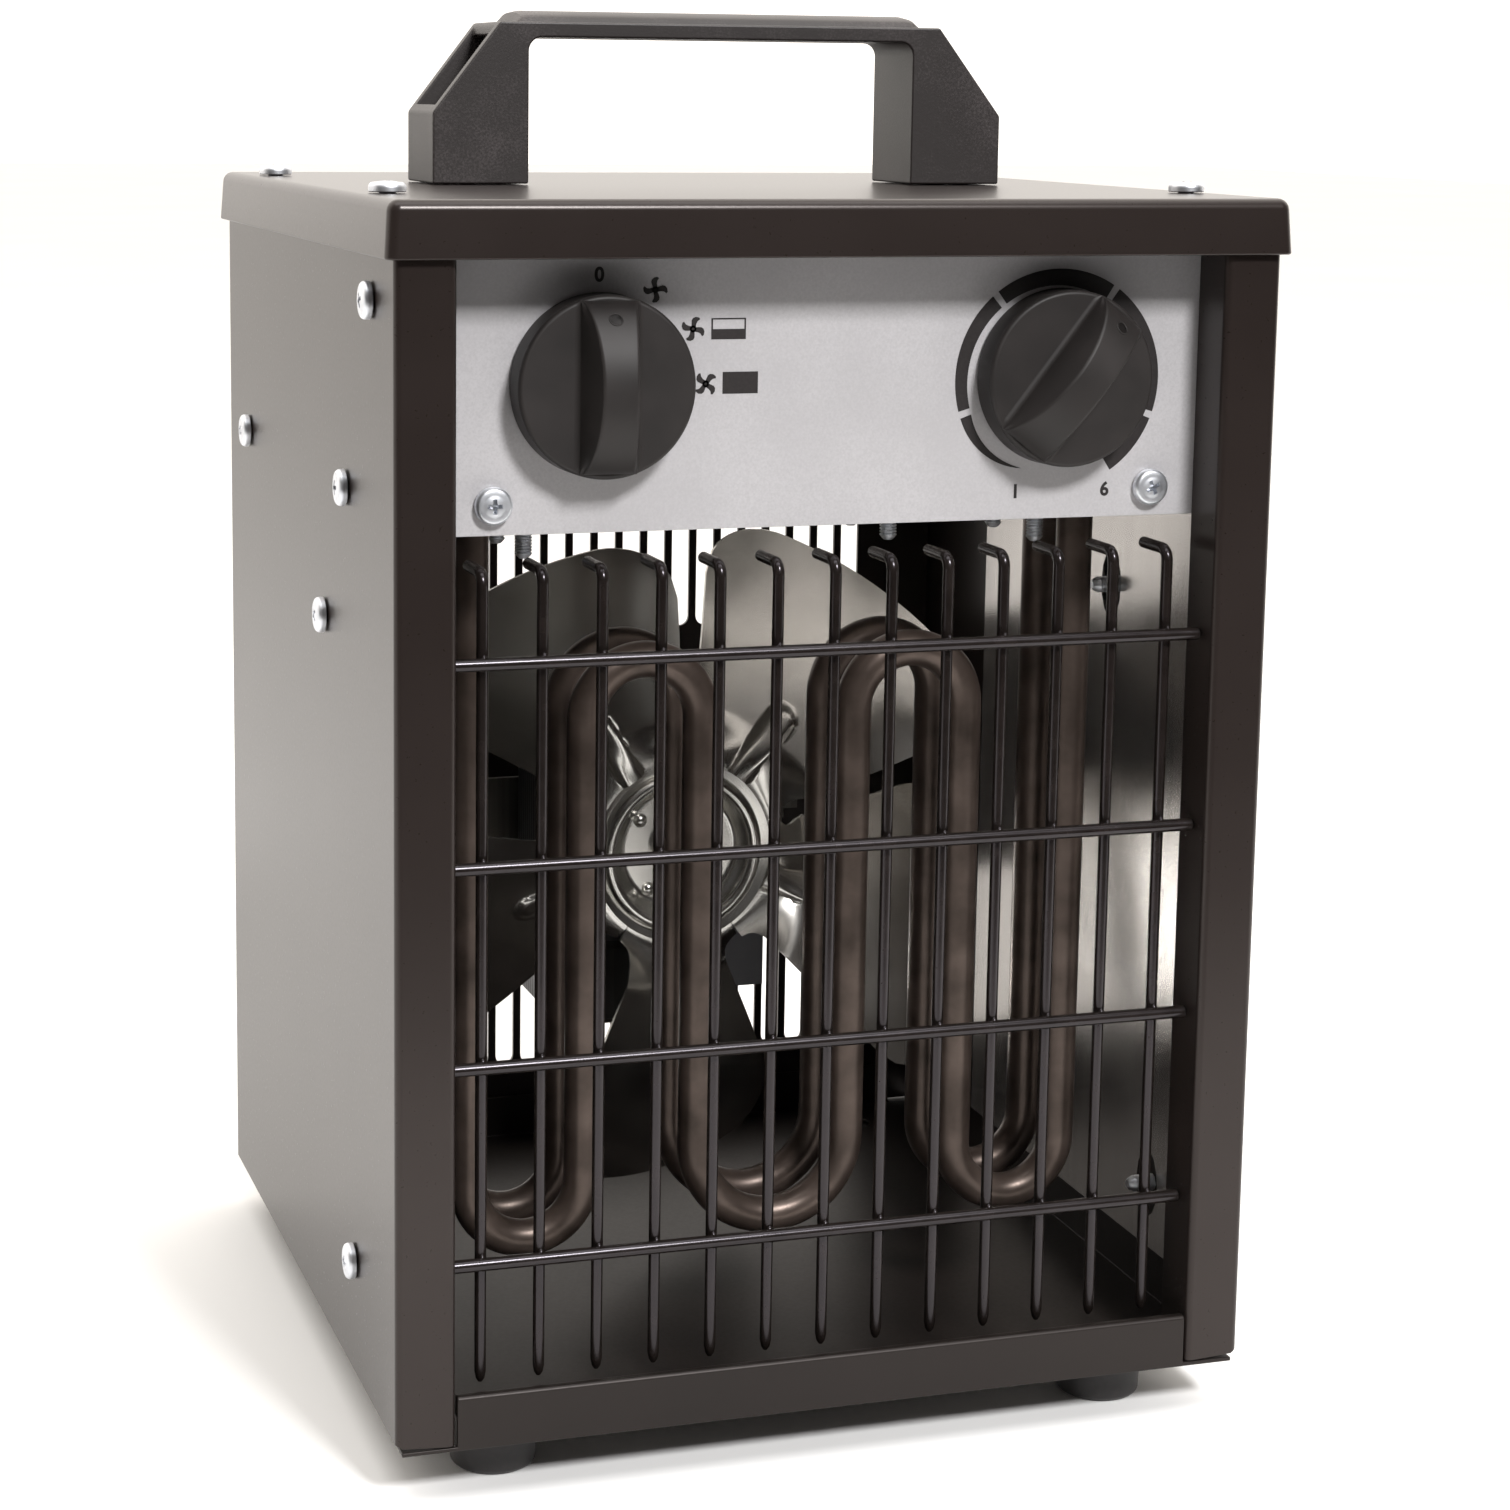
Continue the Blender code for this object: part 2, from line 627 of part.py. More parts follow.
def carry_handle():
    base = BODY_H + GAP
    shoulder = BODY_H + HANDLE_SHOULDER
    top = BODY_H + HANDLE_TOP
    inner = HANDLE_HALF - HANDLE_LEG
    under = top - HANDLE_BAR
    fillet = 3.0
    outline = [(-HANDLE_HALF, base), (-HANDLE_HALF, shoulder), (-HANDLE_TOP_HALF, top),
               (HANDLE_TOP_HALF, top), (HANDLE_HALF, shoulder), (HANDLE_HALF, base), (inner, base)]
    for k in range(4):
        a = math.pi / 2.0 * k / 3.0
        outline.append((inner - fillet + fillet * math.cos(a), under - fillet + fillet * math.sin(a)))
    for k in range(4):
        a = math.pi / 2.0 + math.pi / 2.0 * k / 3.0
        outline.append((-inner + fillet + fillet * math.cos(a), under - fillet + fillet * math.sin(a)))
    outline.append((-inner, base))
    body = prism(outline, "y", HANDLE_Y, HANDLE_Y + HANDLE_D)
    half_d = HANDLE_D / 2.0 - 1.5
    arch = [(HANDLE_Y + HANDLE_D / 2.0 - half_d, top - 1.0)]
    for k in range(7):
        a = math.pi - math.pi * k / 6.0
        arch.append((HANDLE_Y + HANDLE_D / 2.0 + half_d * math.cos(a), top - 0.2 + (HANDLE_CROWN + 0.2) * math.sin(a)))
    arch.append((HANDLE_Y + HANDLE_D / 2.0 + half_d, top - 1.0))
    crown = prism(arch, "x", -HANDLE_TOP_HALF + 4.0, HANDLE_TOP_HALF - 4.0)
    body = fused(body, crown)
    tools = []
    for side in (-1, 1):
        pocket = [(HANDLE_HALF - 2.8, shoulder - 0.5), (inner + 3.2, shoulder - 0.5), (inner + 3.2, top - 3.0),
                  (HANDLE_TOP_HALF + 0.8, top - 3.0), (HANDLE_TOP_HALF + 0.8, top + 9.0), (HANDLE_HALF - 2.8, top + 9.0)]
        tools.append(sided(prism(pocket, "y", HANDLE_Y + 3.5, HANDLE_Y + HANDLE_D - 3.5), side))
        tools.append(rod((side * (HANDLE_HALF - HANDLE_LEG / 2.0), HANDLE_Y + HANDLE_D / 2.0, BODY_H - 3.0),
                         "z", M4_R + GAP, HANDLE_SCREW_L + 4.2))
    return cut(body, *tools)


publish("carry_handle", carry_handle(), "black_plastic")


# Control compartment

BUSHING_R = 4.7


def control_panel():
    plate = box(-FLANGE_X, FLANGE_X, PANEL_Y, PANEL_BACK, PANEL_LOW, WALL_TOP - SHEET - GAP)
    lip = box(-FLANGE_X, FLANGE_X, PANEL_Y, PANEL_Y + PANEL_LIP, PANEL_LOW, PANEL_LOW + SHEET)
    panel = fused(plate, lip)
    for side in (-1, 1):
        wing = box(FLANGE_X - SHEET, FLANGE_X, PANEL_Y + 0.3, PANEL_Y + PANEL_WING,
                   WING_SCREW[1] - WING_HALF, WING_SCREW[1] + WING_HALF)
        panel = fused(panel, sided(wing, side))
    tools = []
    for side in (-1, 1):
        tools.append(rod((side * KNOB_X, PANEL_Y - 3.0, KNOB_Z), "y", BUSHING_R + 0.5, 6.0, 20))
        tools.append(rod((side * PANEL_SCREW_X, PANEL_Y - 3.0, PANEL_SCREW_Z), "y", M4_HOLE_R, 6.0))
        tools.append(sided(rod((HALF_W - 8.0, *WING_SCREW), "x", M4_HOLE_R, 12.0), side))
    return cut(panel, *tools)


publish("control_panel", control_panel(), "silver_paint")

CLAMP_SCREW_X = LEG_OUTER - CLAMP_REACH
CUTOUT_X = 25.0
CLAMP_SCREW_Y = (ELEMENT_Y[0] - CLAMP_SCREW_INSET, ELEMENT_Y[1] + CLAMP_SCREW_OUTSET)


def compartment_floor():
    front = PANEL_BACK + GAP
    rear = REAR_Y - GAP
    floor = box(-FLANGE_X, FLANGE_X, front, rear, FLOOR_Z, FLOOR_TOP)
    floor = fused(floor, box(-HALF_W + 8.0, HALF_W - 8.0, front, front + SHEET, FLOOR_Z, FLOOR_Z + FLOOR_UPSTAND))
    for side in (-1, 1):
        upstand = box(FLANGE_X - SHEET, FLANGE_X, FLOOR_SCREW[0] - 24.9, BODY_D - 49.0,
                      FLOOR_Z, FLOOR_Z + FLOOR_UPSTAND)
        floor = fused(floor, sided(upstand, side))
    notches = []
    for side in (-1, 1):
        notches.append(sided(box(FLANGE_X - SHEET - GAP, FLANGE_X + 4.0, TAB_SCREW[0] - 8.0 - GAP,
                                 rear + 4.0, FLOOR_Z - 4.0, FLOOR_Z + 4.0), side))
        notches.append(rod((side * PANEL_SCREW_X, front - 3.0, PANEL_SCREW_Z), "y", M4_HOLE_R, 6.0))
        notches.append(sided(rod((HALF_W - 8.0, *FLOOR_SCREW), "x", M4_HOLE_R, 12.0), side))
        for y in ELEMENT_Y:
            notches.append(rod((side * LEG_OUTER, y, FLOOR_Z - 3.0), "z", TUBE_R + 0.4, 7.0, 16))
        for y in CLAMP_SCREW_Y:
            notches.append(rod((side * CLAMP_SCREW_X, y, FLOOR_Z - 3.0), "z", M4_HOLE_R, 7.0))
    for y in CLAMP_SCREW_Y:
        notches.append(rod((CUTOUT_X, y, FLOOR_Z - 3.0), "z", M4_HOLE_R, 7.0))
    return cut(floor, *notches)


publish("compartment_floor", compartment_floor(), "galvanised_steel")


def element_clamp(side):
    low = FLOOR_Z - GAP - CLAMP_T
    plate = box(CLAMP_SCREW_X - 6.0, LEG_OUTER + CLAMP_BORDER, CLAMP_SCREW_Y[0] - CLAMP_BORDER,
                CLAMP_SCREW_Y[1] + CLAMP_BORDER, low, FLOOR_Z - GAP)
    tools = [rod((LEG_OUTER, y, low - 2.0), "z", TUBE_R + 0.4, 6.0, 16) for y in ELEMENT_Y]
    tools += [rod((CLAMP_SCREW_X, y, low - 2.0), "z", M4_HOLE_R, 6.0) for y in CLAMP_SCREW_Y]
    return sided(cut(plate, *tools), side)


for side, word in SIDES:
    publish("element_clamp_" + word, element_clamp(side), "galvanised_steel")
    for y, place in zip(CLAMP_SCREW_Y, ("front", "rear")):
        screw = pan_screw((side * CLAMP_SCREW_X, y, FLOOR_TOP + GAP), "z", 1, CLAMP_SCREW_L)
        publish("clamp_screw_" + place + "_" + word, screw, "zinc_steel")

CUTOUT_T = 1.2
for y, place in zip(CLAMP_SCREW_Y, ("front", "rear")):
    screw = pan_screw((CUTOUT_X, y, FLOOR_TOP + 2.0 * GAP + CUTOUT_T), "z", 1, CLAMP_SCREW_L)
    publish("cutout_screw_" + place, screw, "zinc_steel")


def thermal_cutout():
    low = FLOOR_TOP + GAP
    middle = (CLAMP_SCREW_Y[0] + CLAMP_SCREW_Y[1]) / 2.0
    strap = box(CUTOUT_X - 5.0, CUTOUT_X + 5.0, CLAMP_SCREW_Y[0] - 5.5, CLAMP_SCREW_Y[1] + 5.5,
                low, low + CUTOUT_T)
    can = turned([(0.0, 0.0), (6.8, 0.0), (6.8, 8.0), (5.6, 9.2), (0.0, 9.2)],
                 (CUTOUT_X, middle, low + 0.4), "z", 20)
    tabs = [box(CUTOUT_X + s * 3.4 - 0.4, CUTOUT_X + s * 3.4 + 0.4, middle - 3.0, middle + 3.0,
                low + 8.0, low + 17.0) for s in (-1, 1)]
    body = fused(strap, can, *tabs)
    tools = [rod((CUTOUT_X, y, low - 2.0), "z", M4_HOLE_R, 6.0) for y in CLAMP_SCREW_Y]
    return cut(body, *tools)


publish("thermal_cutout", thermal_cutout(), "phenolic")


BLOCK_WAYS = 3
BLOCK_PITCH = 10.5
BLOCK_LEFT = -30.0
BLOCK_FRONT = BODY_D - 81.0
BLOCK_D = 18.0
BLOCK_STEP = 4.5
BLOCK_SHOULDER = 12.0
BLOCK_TALL = 18.0
BLOCK_WIRE_R = 2.2
BLOCK_SCREW_R = 2.6


def terminal_block():
    low = FLOOR_TOP + GAP
    rear = BLOCK_FRONT + BLOCK_D
    shoulder = low + BLOCK_SHOULDER
    top = low + BLOCK_TALL
    step = [(BLOCK_FRONT, low), (rear, low), (rear, shoulder), (rear - BLOCK_STEP, shoulder),
            (rear - BLOCK_STEP, top), (BLOCK_FRONT + BLOCK_STEP, top), (BLOCK_FRONT + BLOCK_STEP, shoulder),
            (BLOCK_FRONT, shoulder)]
    body = prism(step, "x", BLOCK_LEFT, BLOCK_LEFT + BLOCK_WAYS * BLOCK_PITCH + 0.5)
    tools = []
    for k in range(BLOCK_WAYS):
        x = BLOCK_LEFT + 5.5 + BLOCK_PITCH * k
        tools.append(rod((x, BLOCK_FRONT - 8.0, low + 5.5), "y", BLOCK_WIRE_R, BLOCK_D + 16.0))
        tools.append(rod((x, BLOCK_FRONT + BLOCK_D / 2.0, low + 9.5), "z", BLOCK_SCREW_R, 16.0))
    return cut(body, *tools)


publish("terminal_block", terminal_block(), "white_nylon")


def control_body(x, wide, high, deep, tabs):
    """A switch or thermostat: block, bushing through the panel, bore for its spindle."""
    front = PANEL_BACK + GAP
    block = box(x - wide / 2.0, x + wide / 2.0, front, front + deep, KNOB_Z - high / 2.0, KNOB_Z + high / 2.0)
    bushing = rod((x, PANEL_Y - 0.2, KNOB_Z), "y", BUSHING_R, front - PANEL_Y + 2.0, 20)
    parts = [block, bushing]
    for dx, dz in tabs:
        parts.append(box(x + dx - 3.1, x + dx + 3.1, front + deep - 1.0, front + deep + 8.0,
                         KNOB_Z + dz - 0.4, KNOB_Z + dz + 0.4))
    body = fused(*parts)
    return cut(body, rod((x, PANEL_Y - 4.0, KNOB_Z), "y", SPINDLE_R + GAP, SPINDLE_SEAT, 16))


SPINDLE_SEAT = 22.0
SWITCH_TABS = [(dx * SWITCH_W / 4.0, dz * SWITCH_W / 4.0) for dz in (-1, 1) for dx in (-1, 1)]
THERMOSTAT_TABS = ((-10.0, 0.0), (10.0, 0.0))
publish("rotary_switch", control_body(-KNOB_X, SWITCH_W, SWITCH_W, SWITCH_D, SWITCH_TABS), "phenolic")
publish("thermostat", control_body(KNOB_X, THERMOSTAT_W, THERMOSTAT_H, THERMOSTAT_D, THERMOSTAT_TABS), "phenolic")


KNOB_BORE = 10.0


def knob(x, angle):
    """Disc with an arched grip across it. The pointer end of the grip is up at angle 0."""
    back = PANEL_Y - KNOB_GAP
    face = back - KNOB_DISC
    disc = turned([(0.0, 0.0), (KNOB_R, 0.0), (KNOB_R - 0.2, KNOB_DISC - 1.4), (KNOB_R - 1.4, KNOB_DISC),
                   (0.0, KNOB_DISC)], (0.0, 0.0, 0.0), "z", 36)
    grip = bmesh.new()
    rings = []
    reach = math.sqrt(KNOB_R ** 2 - (GRIP_BASE / 2.0) ** 2) - 0.3
    count = 12
    for k in range(count + 1):
        t = -math.cos(math.pi * k / count)
        rise = (1.0 - t * t) ** 0.7 if abs(t) < 0.999 else 0.0
        rise = max(rise, 0.04)
        crest = GRIP_CREST / 2.0 + (1.0 - rise) * (GRIP_BASE - GRIP_CREST) / 2.0 - 0.2
        top = KNOB_DISC + KNOB_CREST * rise
        soft = min(0.8, KNOB_CREST * rise * 0.4)
        rings.append([grip.verts.new(p) for p in (
            (-GRIP_BASE / 2.0, t * reach, KNOB_DISC - 2.0),
            (-GRIP_BASE / 2.0, t * reach, KNOB_DISC),
            (-crest, t * reach, top - soft),
            (-crest + 1.2, t * reach, top),
            (crest - 1.2, t * reach, top),
            (crest, t * reach, top - soft),
            (GRIP_BASE / 2.0, t * reach, KNOB_DISC),
            (GRIP_BASE / 2.0, t * reach, KNOB_DISC - 2.0))])
    for low, high in zip(rings[:-1], rings[1:]):
        for i in range(8):
            j = (i + 1) % 8
            grip.faces.new((low[i], low[j], high[j], high[i]))
    grip.faces.new(rings[0])
    grip.faces.new(rings[-1])
    bmesh.ops.recalc_face_normals(grip, faces=grip.faces)
    body = fused(disc, grip)
    body = cut(body, rod((0.0, 0.0, -2.0), "z", SPINDLE_R + GAP, KNOB_BORE + 2.0, 16))
    to_panel = Matrix(((1, 0, 0), (0, 0, -1), (0, 1, 0))).to_4x4()
    bmesh.ops.transform(body, matrix=to_panel, verts=body.verts)
    bmesh.ops.rotate(body, verts=body.verts, cent=(0, 0, 0), matrix=Matrix.Rotation(math.radians(angle), 3, "Y"))
    bmesh.ops.translate(body, verts=body.verts, vec=(x, back, KNOB_Z))
    return body


def spindle(x):
    start = PANEL_Y - KNOB_GAP - KNOB_BORE + GAP
    end = PANEL_Y - 4.0 + SPINDLE_SEAT - GAP
    return rod((x, start, KNOB_Z), "y", SPINDLE_R, end - start, 16)


publish("switch_knob", knob(-KNOB_X, 0.0), "black_plastic", pivot=(-KNOB_X, PANEL_Y, KNOB_Z))
publish("switch_spindle", spindle(-KNOB_X), "zinc_steel", pivot=(-KNOB_X, PANEL_Y, KNOB_Z))
publish("thermostat_knob", knob(KNOB_X, DIAL_REST), "black_plastic", pivot=(KNOB_X, PANEL_Y, KNOB_Z))
publish("thermostat_spindle", spindle(KNOB_X), "zinc_steel", pivot=(KNOB_X, PANEL_Y, KNOB_Z))


# Wire guard

def wire_guard():
    bend = GUARD_BEND
    end = GUARD_BAR_TOP - bend - 1.4
    whole = None
    for i in range(GUARD_BARS):
        x = (i - (GUARD_BARS - 1) / 2.0) * GUARD_BAR_PITCH
        path = [(x, GUARD_BAR_Y, RAIL_H - 0.6), (x, GUARD_BAR_Y, RAIL_H + 1.6), (x, GUARD_BAR_Y, end)]
        for k in range(1, 3):
            a = math.pi / 2.0 * k / 2.0
            path.append((x, GUARD_BAR_Y + bend - bend * math.cos(a), end + bend * math.sin(a)))
        path.append((x, GUARD_BAR_Y + GUARD_BAR_BACK, end + bend))
        radii = [GUARD_BAR_R * 0.45] + [GUARD_BAR_R] * (len(path) - 1)
        bar = swept(path, radii, 6)
        whole = bar if whole is None else together(whole, bar)
    for k in range(GUARD_ROWS):
        z = GUARD_ROW_LOW + k * GUARD_ROW_PITCH
        row = swept([(-GUARD_REACH, GUARD_WIRE_Y, z), (GUARD_REACH, GUARD_WIRE_Y, z)], [GUARD_WIRE_R] * 2, 6)
        whole = fused(whole, row)
    return whole


publish("wire_guard", wire_guard(), "black_wire")


# Heating elements

PIN_R = 1.5
PIN_L = 16.0


def element_path(y):
    legs = [-LEG_OUTER, -LEG_MIDDLE, -LEG_INNER, LEG_INNER, LEG_MIDDLE, LEG_OUTER]
    top = FLOOR_TOP + ELEMENT_TAIL
    path = [(legs[0], y, top)]
    steps = 6
    for i in range(5):
        low = i % 2 == 0
        radius = (legs[i + 1] - legs[i]) / 2.0
        x = (legs[i + 1] + legs[i]) / 2.0
        z = ELEMENT_LOW + radius if low else ELEMENT_HIGH - radius
        for k in range(steps + 1):
            a = math.pi - math.pi * k / steps
            path.append((x + radius * math.cos(a), y, z - radius * math.sin(a) if low else z + radius * math.sin(a)))
    path.append((legs[-1], y, top))
    return path


def heating_element(y):
    path = element_path(y)
    body = swept(path, [TUBE_R] * len(path), 8)
    for side in (-1, 1):
        end = turned([(0.0, -2.0), (TUBE_R - 1.05, -2.0), (TUBE_R - 1.05, 4.0), (PIN_R, 4.0), (PIN_R, PIN_L),
                      (0.0, PIN_L)], (side * LEG_OUTER, y, FLOOR_TOP + ELEMENT_TAIL), "z", 8)
        body = fused(body, end)
    return body


for y, place in zip(ELEMENT_Y, ("front", "rear")):
    publish("heating_element_" + place, heating_element(y), "oxidised_steel")


# Liners inside the side panels

LINER_T = 0.8
LINER_SLOT_W = 11.0
LINER_SLOT_H = 17.0


def liner(side):
    outer = FLANGE_X - SHEET - GAP
    sheet = box(outer - LINER_T, outer, PANEL_BACK + 1.2, BODY_D - 49.0, RAIL_H + 1.0, PANEL_LOW - GAP)
    tools = []
    for y, z in (LINER_SCREW, TRAY_SCREW):
        slot = []
        for k in range(14):
            a = 2.0 * math.pi * k / 14
            slot.append((y + LINER_SLOT_W / 2.0 * math.cos(a), z + LINER_SLOT_H / 2.0 * math.sin(a)))
        tools.append(prism(slot, "x", outer - 4.0, outer + 4.0))
    return sided(cut(sheet, *tools), side)


for side, word in SIDES:
    publish("duct_liner_" + word, liner(side), "galvanised_steel")


# Fan

HUB_CENTRE = (0.0, FAN_Y, FAN_Z)
RIVET_R = 13.7
RIVET_HEAD_R = 2.7
RIVET_SHANK_R = 1.5
BOSS_R = 7.0
HUB_FLANGE_R = 17.0


def smooth_step(t):
    t = min(max(t, 0.0), 1.0)
    return t * t * (3.0 - 2.0 * t)


def fan_blade(centre):
    bm = bmesh.new()
    across = 6
    shares = (0.0, 0.08, 0.17, 0.28, 0.52, 0.78, 1.0)
    along = len(shares) - 1
    root = FAN_RING_R - 2.5
    grids = []
    for layer in (-0.5, 0.5):
        grid = []
        for i in range(across + 1):
            u = -1.0 + 2.0 * i / across
            corner = max(abs(u) - 0.55, 0.0) / 0.45
            tip = FAN_R - FAN_TIP_ROUND * (1.0 - math.sqrt(max(1.0 - corner * corner, 0.0)))
            row = []
            for j in range(along + 1):
                r = root + (tip - root) * shares[j]
                widen = smooth_step((r - FAN_RING_R) / 15.0)
                half = math.radians(FAN_ROOT_HALF + (FAN_HALF - FAN_ROOT_HALF) * widen)
                turn = centre + u * half
                rise = smooth_step((r - FAN_RING_R) / 16.0)
                y = FAN_PITCH * r * math.sin(u * half) * rise + layer * FAN_SHEET
                row.append(bm.verts.new((r * math.sin(turn), y, r * math.cos(turn))))
            grid.append(row)
        grids.append(grid)
    for grid in grids:
        for i in range(across):
            for j in range(along):
                bm.faces.new((grid[i][j], grid[i + 1][j], grid[i + 1][j + 1], grid[i][j + 1]))
    rim = [(i, 0) for i in range(across)] + [(across, j) for j in range(along)]
    rim += [(i, along) for i in range(across, 0, -1)] + [(0, j) for j in range(along, 0, -1)]
    for k in range(len(rim)):
        a = rim[k]
        b = rim[(k + 1) % len(rim)]
        bm.faces.new((grids[0][a[0]][a[1]], grids[0][b[0]][b[1]], grids[1][b[0]][b[1]], grids[1][a[0]][a[1]]))
    bmesh.ops.recalc_face_normals(bm, faces=bm.faces)
    return bm


def fan_wheel():
    disc = turned([(0.0, -1.1), (FAN_RING_R - 1.6, -1.1), (FAN_RING_R - 0.9, -1.9), (FAN_RING_R + 0.4, -1.9),
                   (FAN_RING_R + 1.2, -1.1), (FAN_RING_R + 1.2, 1.1), (0.0, 1.1)], (0.0, 0.0, 0.0), "y", 25)
    wheel = disc
    for k in range(FAN_BLADES):
        blade = fan_blade(math.radians(FAN_FIRST + 72.0 * k))
        wheel = fused(wheel, blade)
    tools = [rod((0.0, -6.0, 0.0), "y", BOSS_R + 1.0, 12.0, 20)]
    for k in range(4):
        a = math.radians(45.0 + 90.0 * k)
        tools.append(rod((RIVET_R * math.cos(a), -6.0, RIVET_R * math.sin(a)), "y", RIVET_SHANK_R + 0.5, 12.0, 8))
    wheel = cut(wheel, *tools)
    bmesh.ops.translate(wheel, verts=wheel.verts, vec=HUB_CENTRE)
    return wheel


def fan_hub():
    rear = 1.1 + GAP
    boss = turned([(0.0, -4.0), (BOSS_R - 0.8, -4.0), (BOSS_R, -3.2), (BOSS_R, rear), (HUB_FLANGE_R, rear),
                   (HUB_FLANGE_R, rear + 1.6), (BOSS_R, rear + 1.6), (BOSS_R, 12.0), (0.0, 12.0)],
                  (0.0, 0.0, 0.0), "y", 16)
    hub = boss
    for k in range(4):
        a = math.radians(45.0 + 90.0 * k)
        rivet = turned([(0.0, -3.2), (RIVET_HEAD_R - 0.9, -2.8), (RIVET_HEAD_R, -1.1 - GAP),
                        (RIVET_SHANK_R, -1.1 - GAP), (RIVET_SHANK_R, rear + 0.8), (0.0, rear + 0.8)],
                       (RIVET_R * math.cos(a), 0.0, RIVET_R * math.sin(a)), "y", 8)
        hub = fused(hub, rivet)
    hub = cut(hub, rod((0.0, -8.0, 0.0), "y", MOTOR_SHAFT_R + GAP, 24.0, 16))
    bmesh.ops.translate(hub, verts=hub.verts, vec=HUB_CENTRE)
    return hub


publish("fan_blades", fan_wheel(), "aluminium", pivot=HUB_CENTRE)
publish("fan_hub", fan_hub(), "aluminium", pivot=HUB_CENTRE)


# Motor

def motor_rotor():
    start = FAN_Y - 4.6
    front = STATOR_FRONT - start + 0.5
    back = STATOR_BACK - start - 0.5
    end = STATOR_BACK + 3.0 + BRIDGE_T + BEARING_L + 1.5 - start
    profile = [(0.0, 0.0), (MOTOR_SHAFT_R - 0.4, 0.0), (MOTOR_SHAFT_R, 0.4), (MOTOR_SHAFT_R, front), (ROTOR_R, front),
               (ROTOR_R, back), (MOTOR_SHAFT_R, back), (MOTOR_SHAFT_R, end), (0.0, end)]
    return turned(profile, (0.0, start, FAN_Z), "y", 20)


publish("motor_rotor", motor_rotor(), "zinc_steel", pivot=HUB_CENTRE)


def motor_stator():
    half = STATOR_W / 2.0
    core = box(-half, half, STATOR_FRONT, STATOR_BACK, FAN_Z - STATOR_DOWN, FAN_Z + STATOR_UP)
    bore = rod((0.0, STATOR_FRONT - 3.0, FAN_Z), "y", ROTOR_R + ROTOR_GAP, STATOR_T + 6.0, 28)
    window = box(-COIL_W / 2.0 - 4.0, COIL_W / 2.0 + 4.0, STATOR_FRONT - 3.0, STATOR_BACK + 3.0,
                 FAN_Z - STATOR_DOWN + CORE_BAND, FAN_Z - ROTOR_R - 4.5)
    return cut(core, bore, window)


def motor_coil():
    low = FAN_Z - STATOR_DOWN
    body = box(-COIL_W / 2.0, COIL_W / 2.0, STATOR_FRONT - 6.0, STATOR_BACK + 6.0, low - 6.0, low + CORE_BAND + 6.0)
    edges = list(body.edges)
    bmesh.ops.bevel(body, geom=edges, offset=1.6, segments=1, affect="EDGES")
    slot = box(-COIL_W / 2.0 - 4.0, COIL_W / 2.0 + 4.0, STATOR_FRONT - GAP, STATOR_BACK + GAP,
               low - GAP, low + CORE_BAND + GAP)
    return cut(body, slot)


def motor_bridge(way):
    """Bearing bridge: a strip across the core on two feet, with the bearing at its middle."""
    face = STATOR_FRONT if way < 0 else STATOR_BACK

    def span(a, b):
        low = face + way * a
        high = face + way * b
        return min(low, high), max(low, high)

    low_z = FAN_Z - BRIDGE_HALF
    high_z = FAN_Z + BRIDGE_HALF
    strip = box(-BRIDGE_W / 2.0, BRIDGE_W / 2.0, *span(3.0, 3.0 + BRIDGE_T), low_z, high_z)
    feet = []
    for s in (-1, 1):
        x0, x1 = sorted((s * (BRIDGE_W / 2.0 - 7.0), s * BRIDGE_W / 2.0))
        feet.append(box(x0, x1, *span(GAP, 3.5), low_z, high_z))
    low, high = span(2.0, 3.0 + BRIDGE_T + BEARING_L)
    bearing = rod((0.0, low, FAN_Z), "y", BEARING_R, high - low, 20)
    bridge = fused(strip, bearing, *feet)
    return cut(bridge, rod((0.0, low - 6.0, FAN_Z), "y", MOTOR_SHAFT_R + GAP, high - low + 12.0, 16))


publish("motor_stator", motor_stator(), "lamination")
publish("motor_coil", motor_coil(), "coil_tape")
publish("motor_bridge_front", motor_bridge(-1), "zinc_steel")
publish("motor_bridge_rear", motor_bridge(1), "zinc_steel")


def motor_mount():
    """Strap behind the motor with two legs back to the rear panel's middle band."""
    near = STATOR_BACK + 3.0 + BRIDGE_T + GAP
    far = REAR_Y - GAP
    half = MOUNT_T / 2.0
    ends = MOUNT_HALF + MOUNT_FOOT
    path = [(-ends, far - half), (-MOUNT_HALF, far - half), (-MOUNT_HALF, near + half), (MOUNT_HALF, near + half),
            (MOUNT_HALF, far - half), (ends, far - half)]
    strap = prism(folded(path, MOUNT_T, 1.0), "z", FAN_Z - MOUNT_TALL / 2.0, FAN_Z + MOUNT_TALL / 2.0)
    return cut(strap, rod((0.0, near - 5.0, FAN_Z), "y", BEARING_R + 0.6, 12.0, 20))


publish("motor_mount", motor_mount(), "galvanised_steel")


# Cable gland in the rear panel

def cable_gland():
    profile = [(GLAND_BORE, -6.0), (GLAND_NECK_R - 0.4, -6.0), (GLAND_NECK_R, -4.0), (GLAND_NECK_R, GAP),
               (GLAND_R, GAP), (GLAND_R, GAP + 2.4), (GLAND_NECK_R + 1.0, GAP + 3.2),
               (GLAND_NECK_R - 0.6, GAP + GLAND_OUT), (GLAND_BORE, GAP + GLAND_OUT)]
    return turned(profile, (GLAND_X, REAR_OUT, GLAND_Z), "y", 16, closed=True)


publish("cable_gland", cable_gland(), "black_plastic")
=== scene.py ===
# Looks of the greenhouse fan heater: finer sheets, wires, tubes, fan, knobs, handle and
# screws round the fixed frame, the finish of every surface, and a plain pale studio.
import math

import bmesh
import bpy
from mathutils import Matrix, Vector


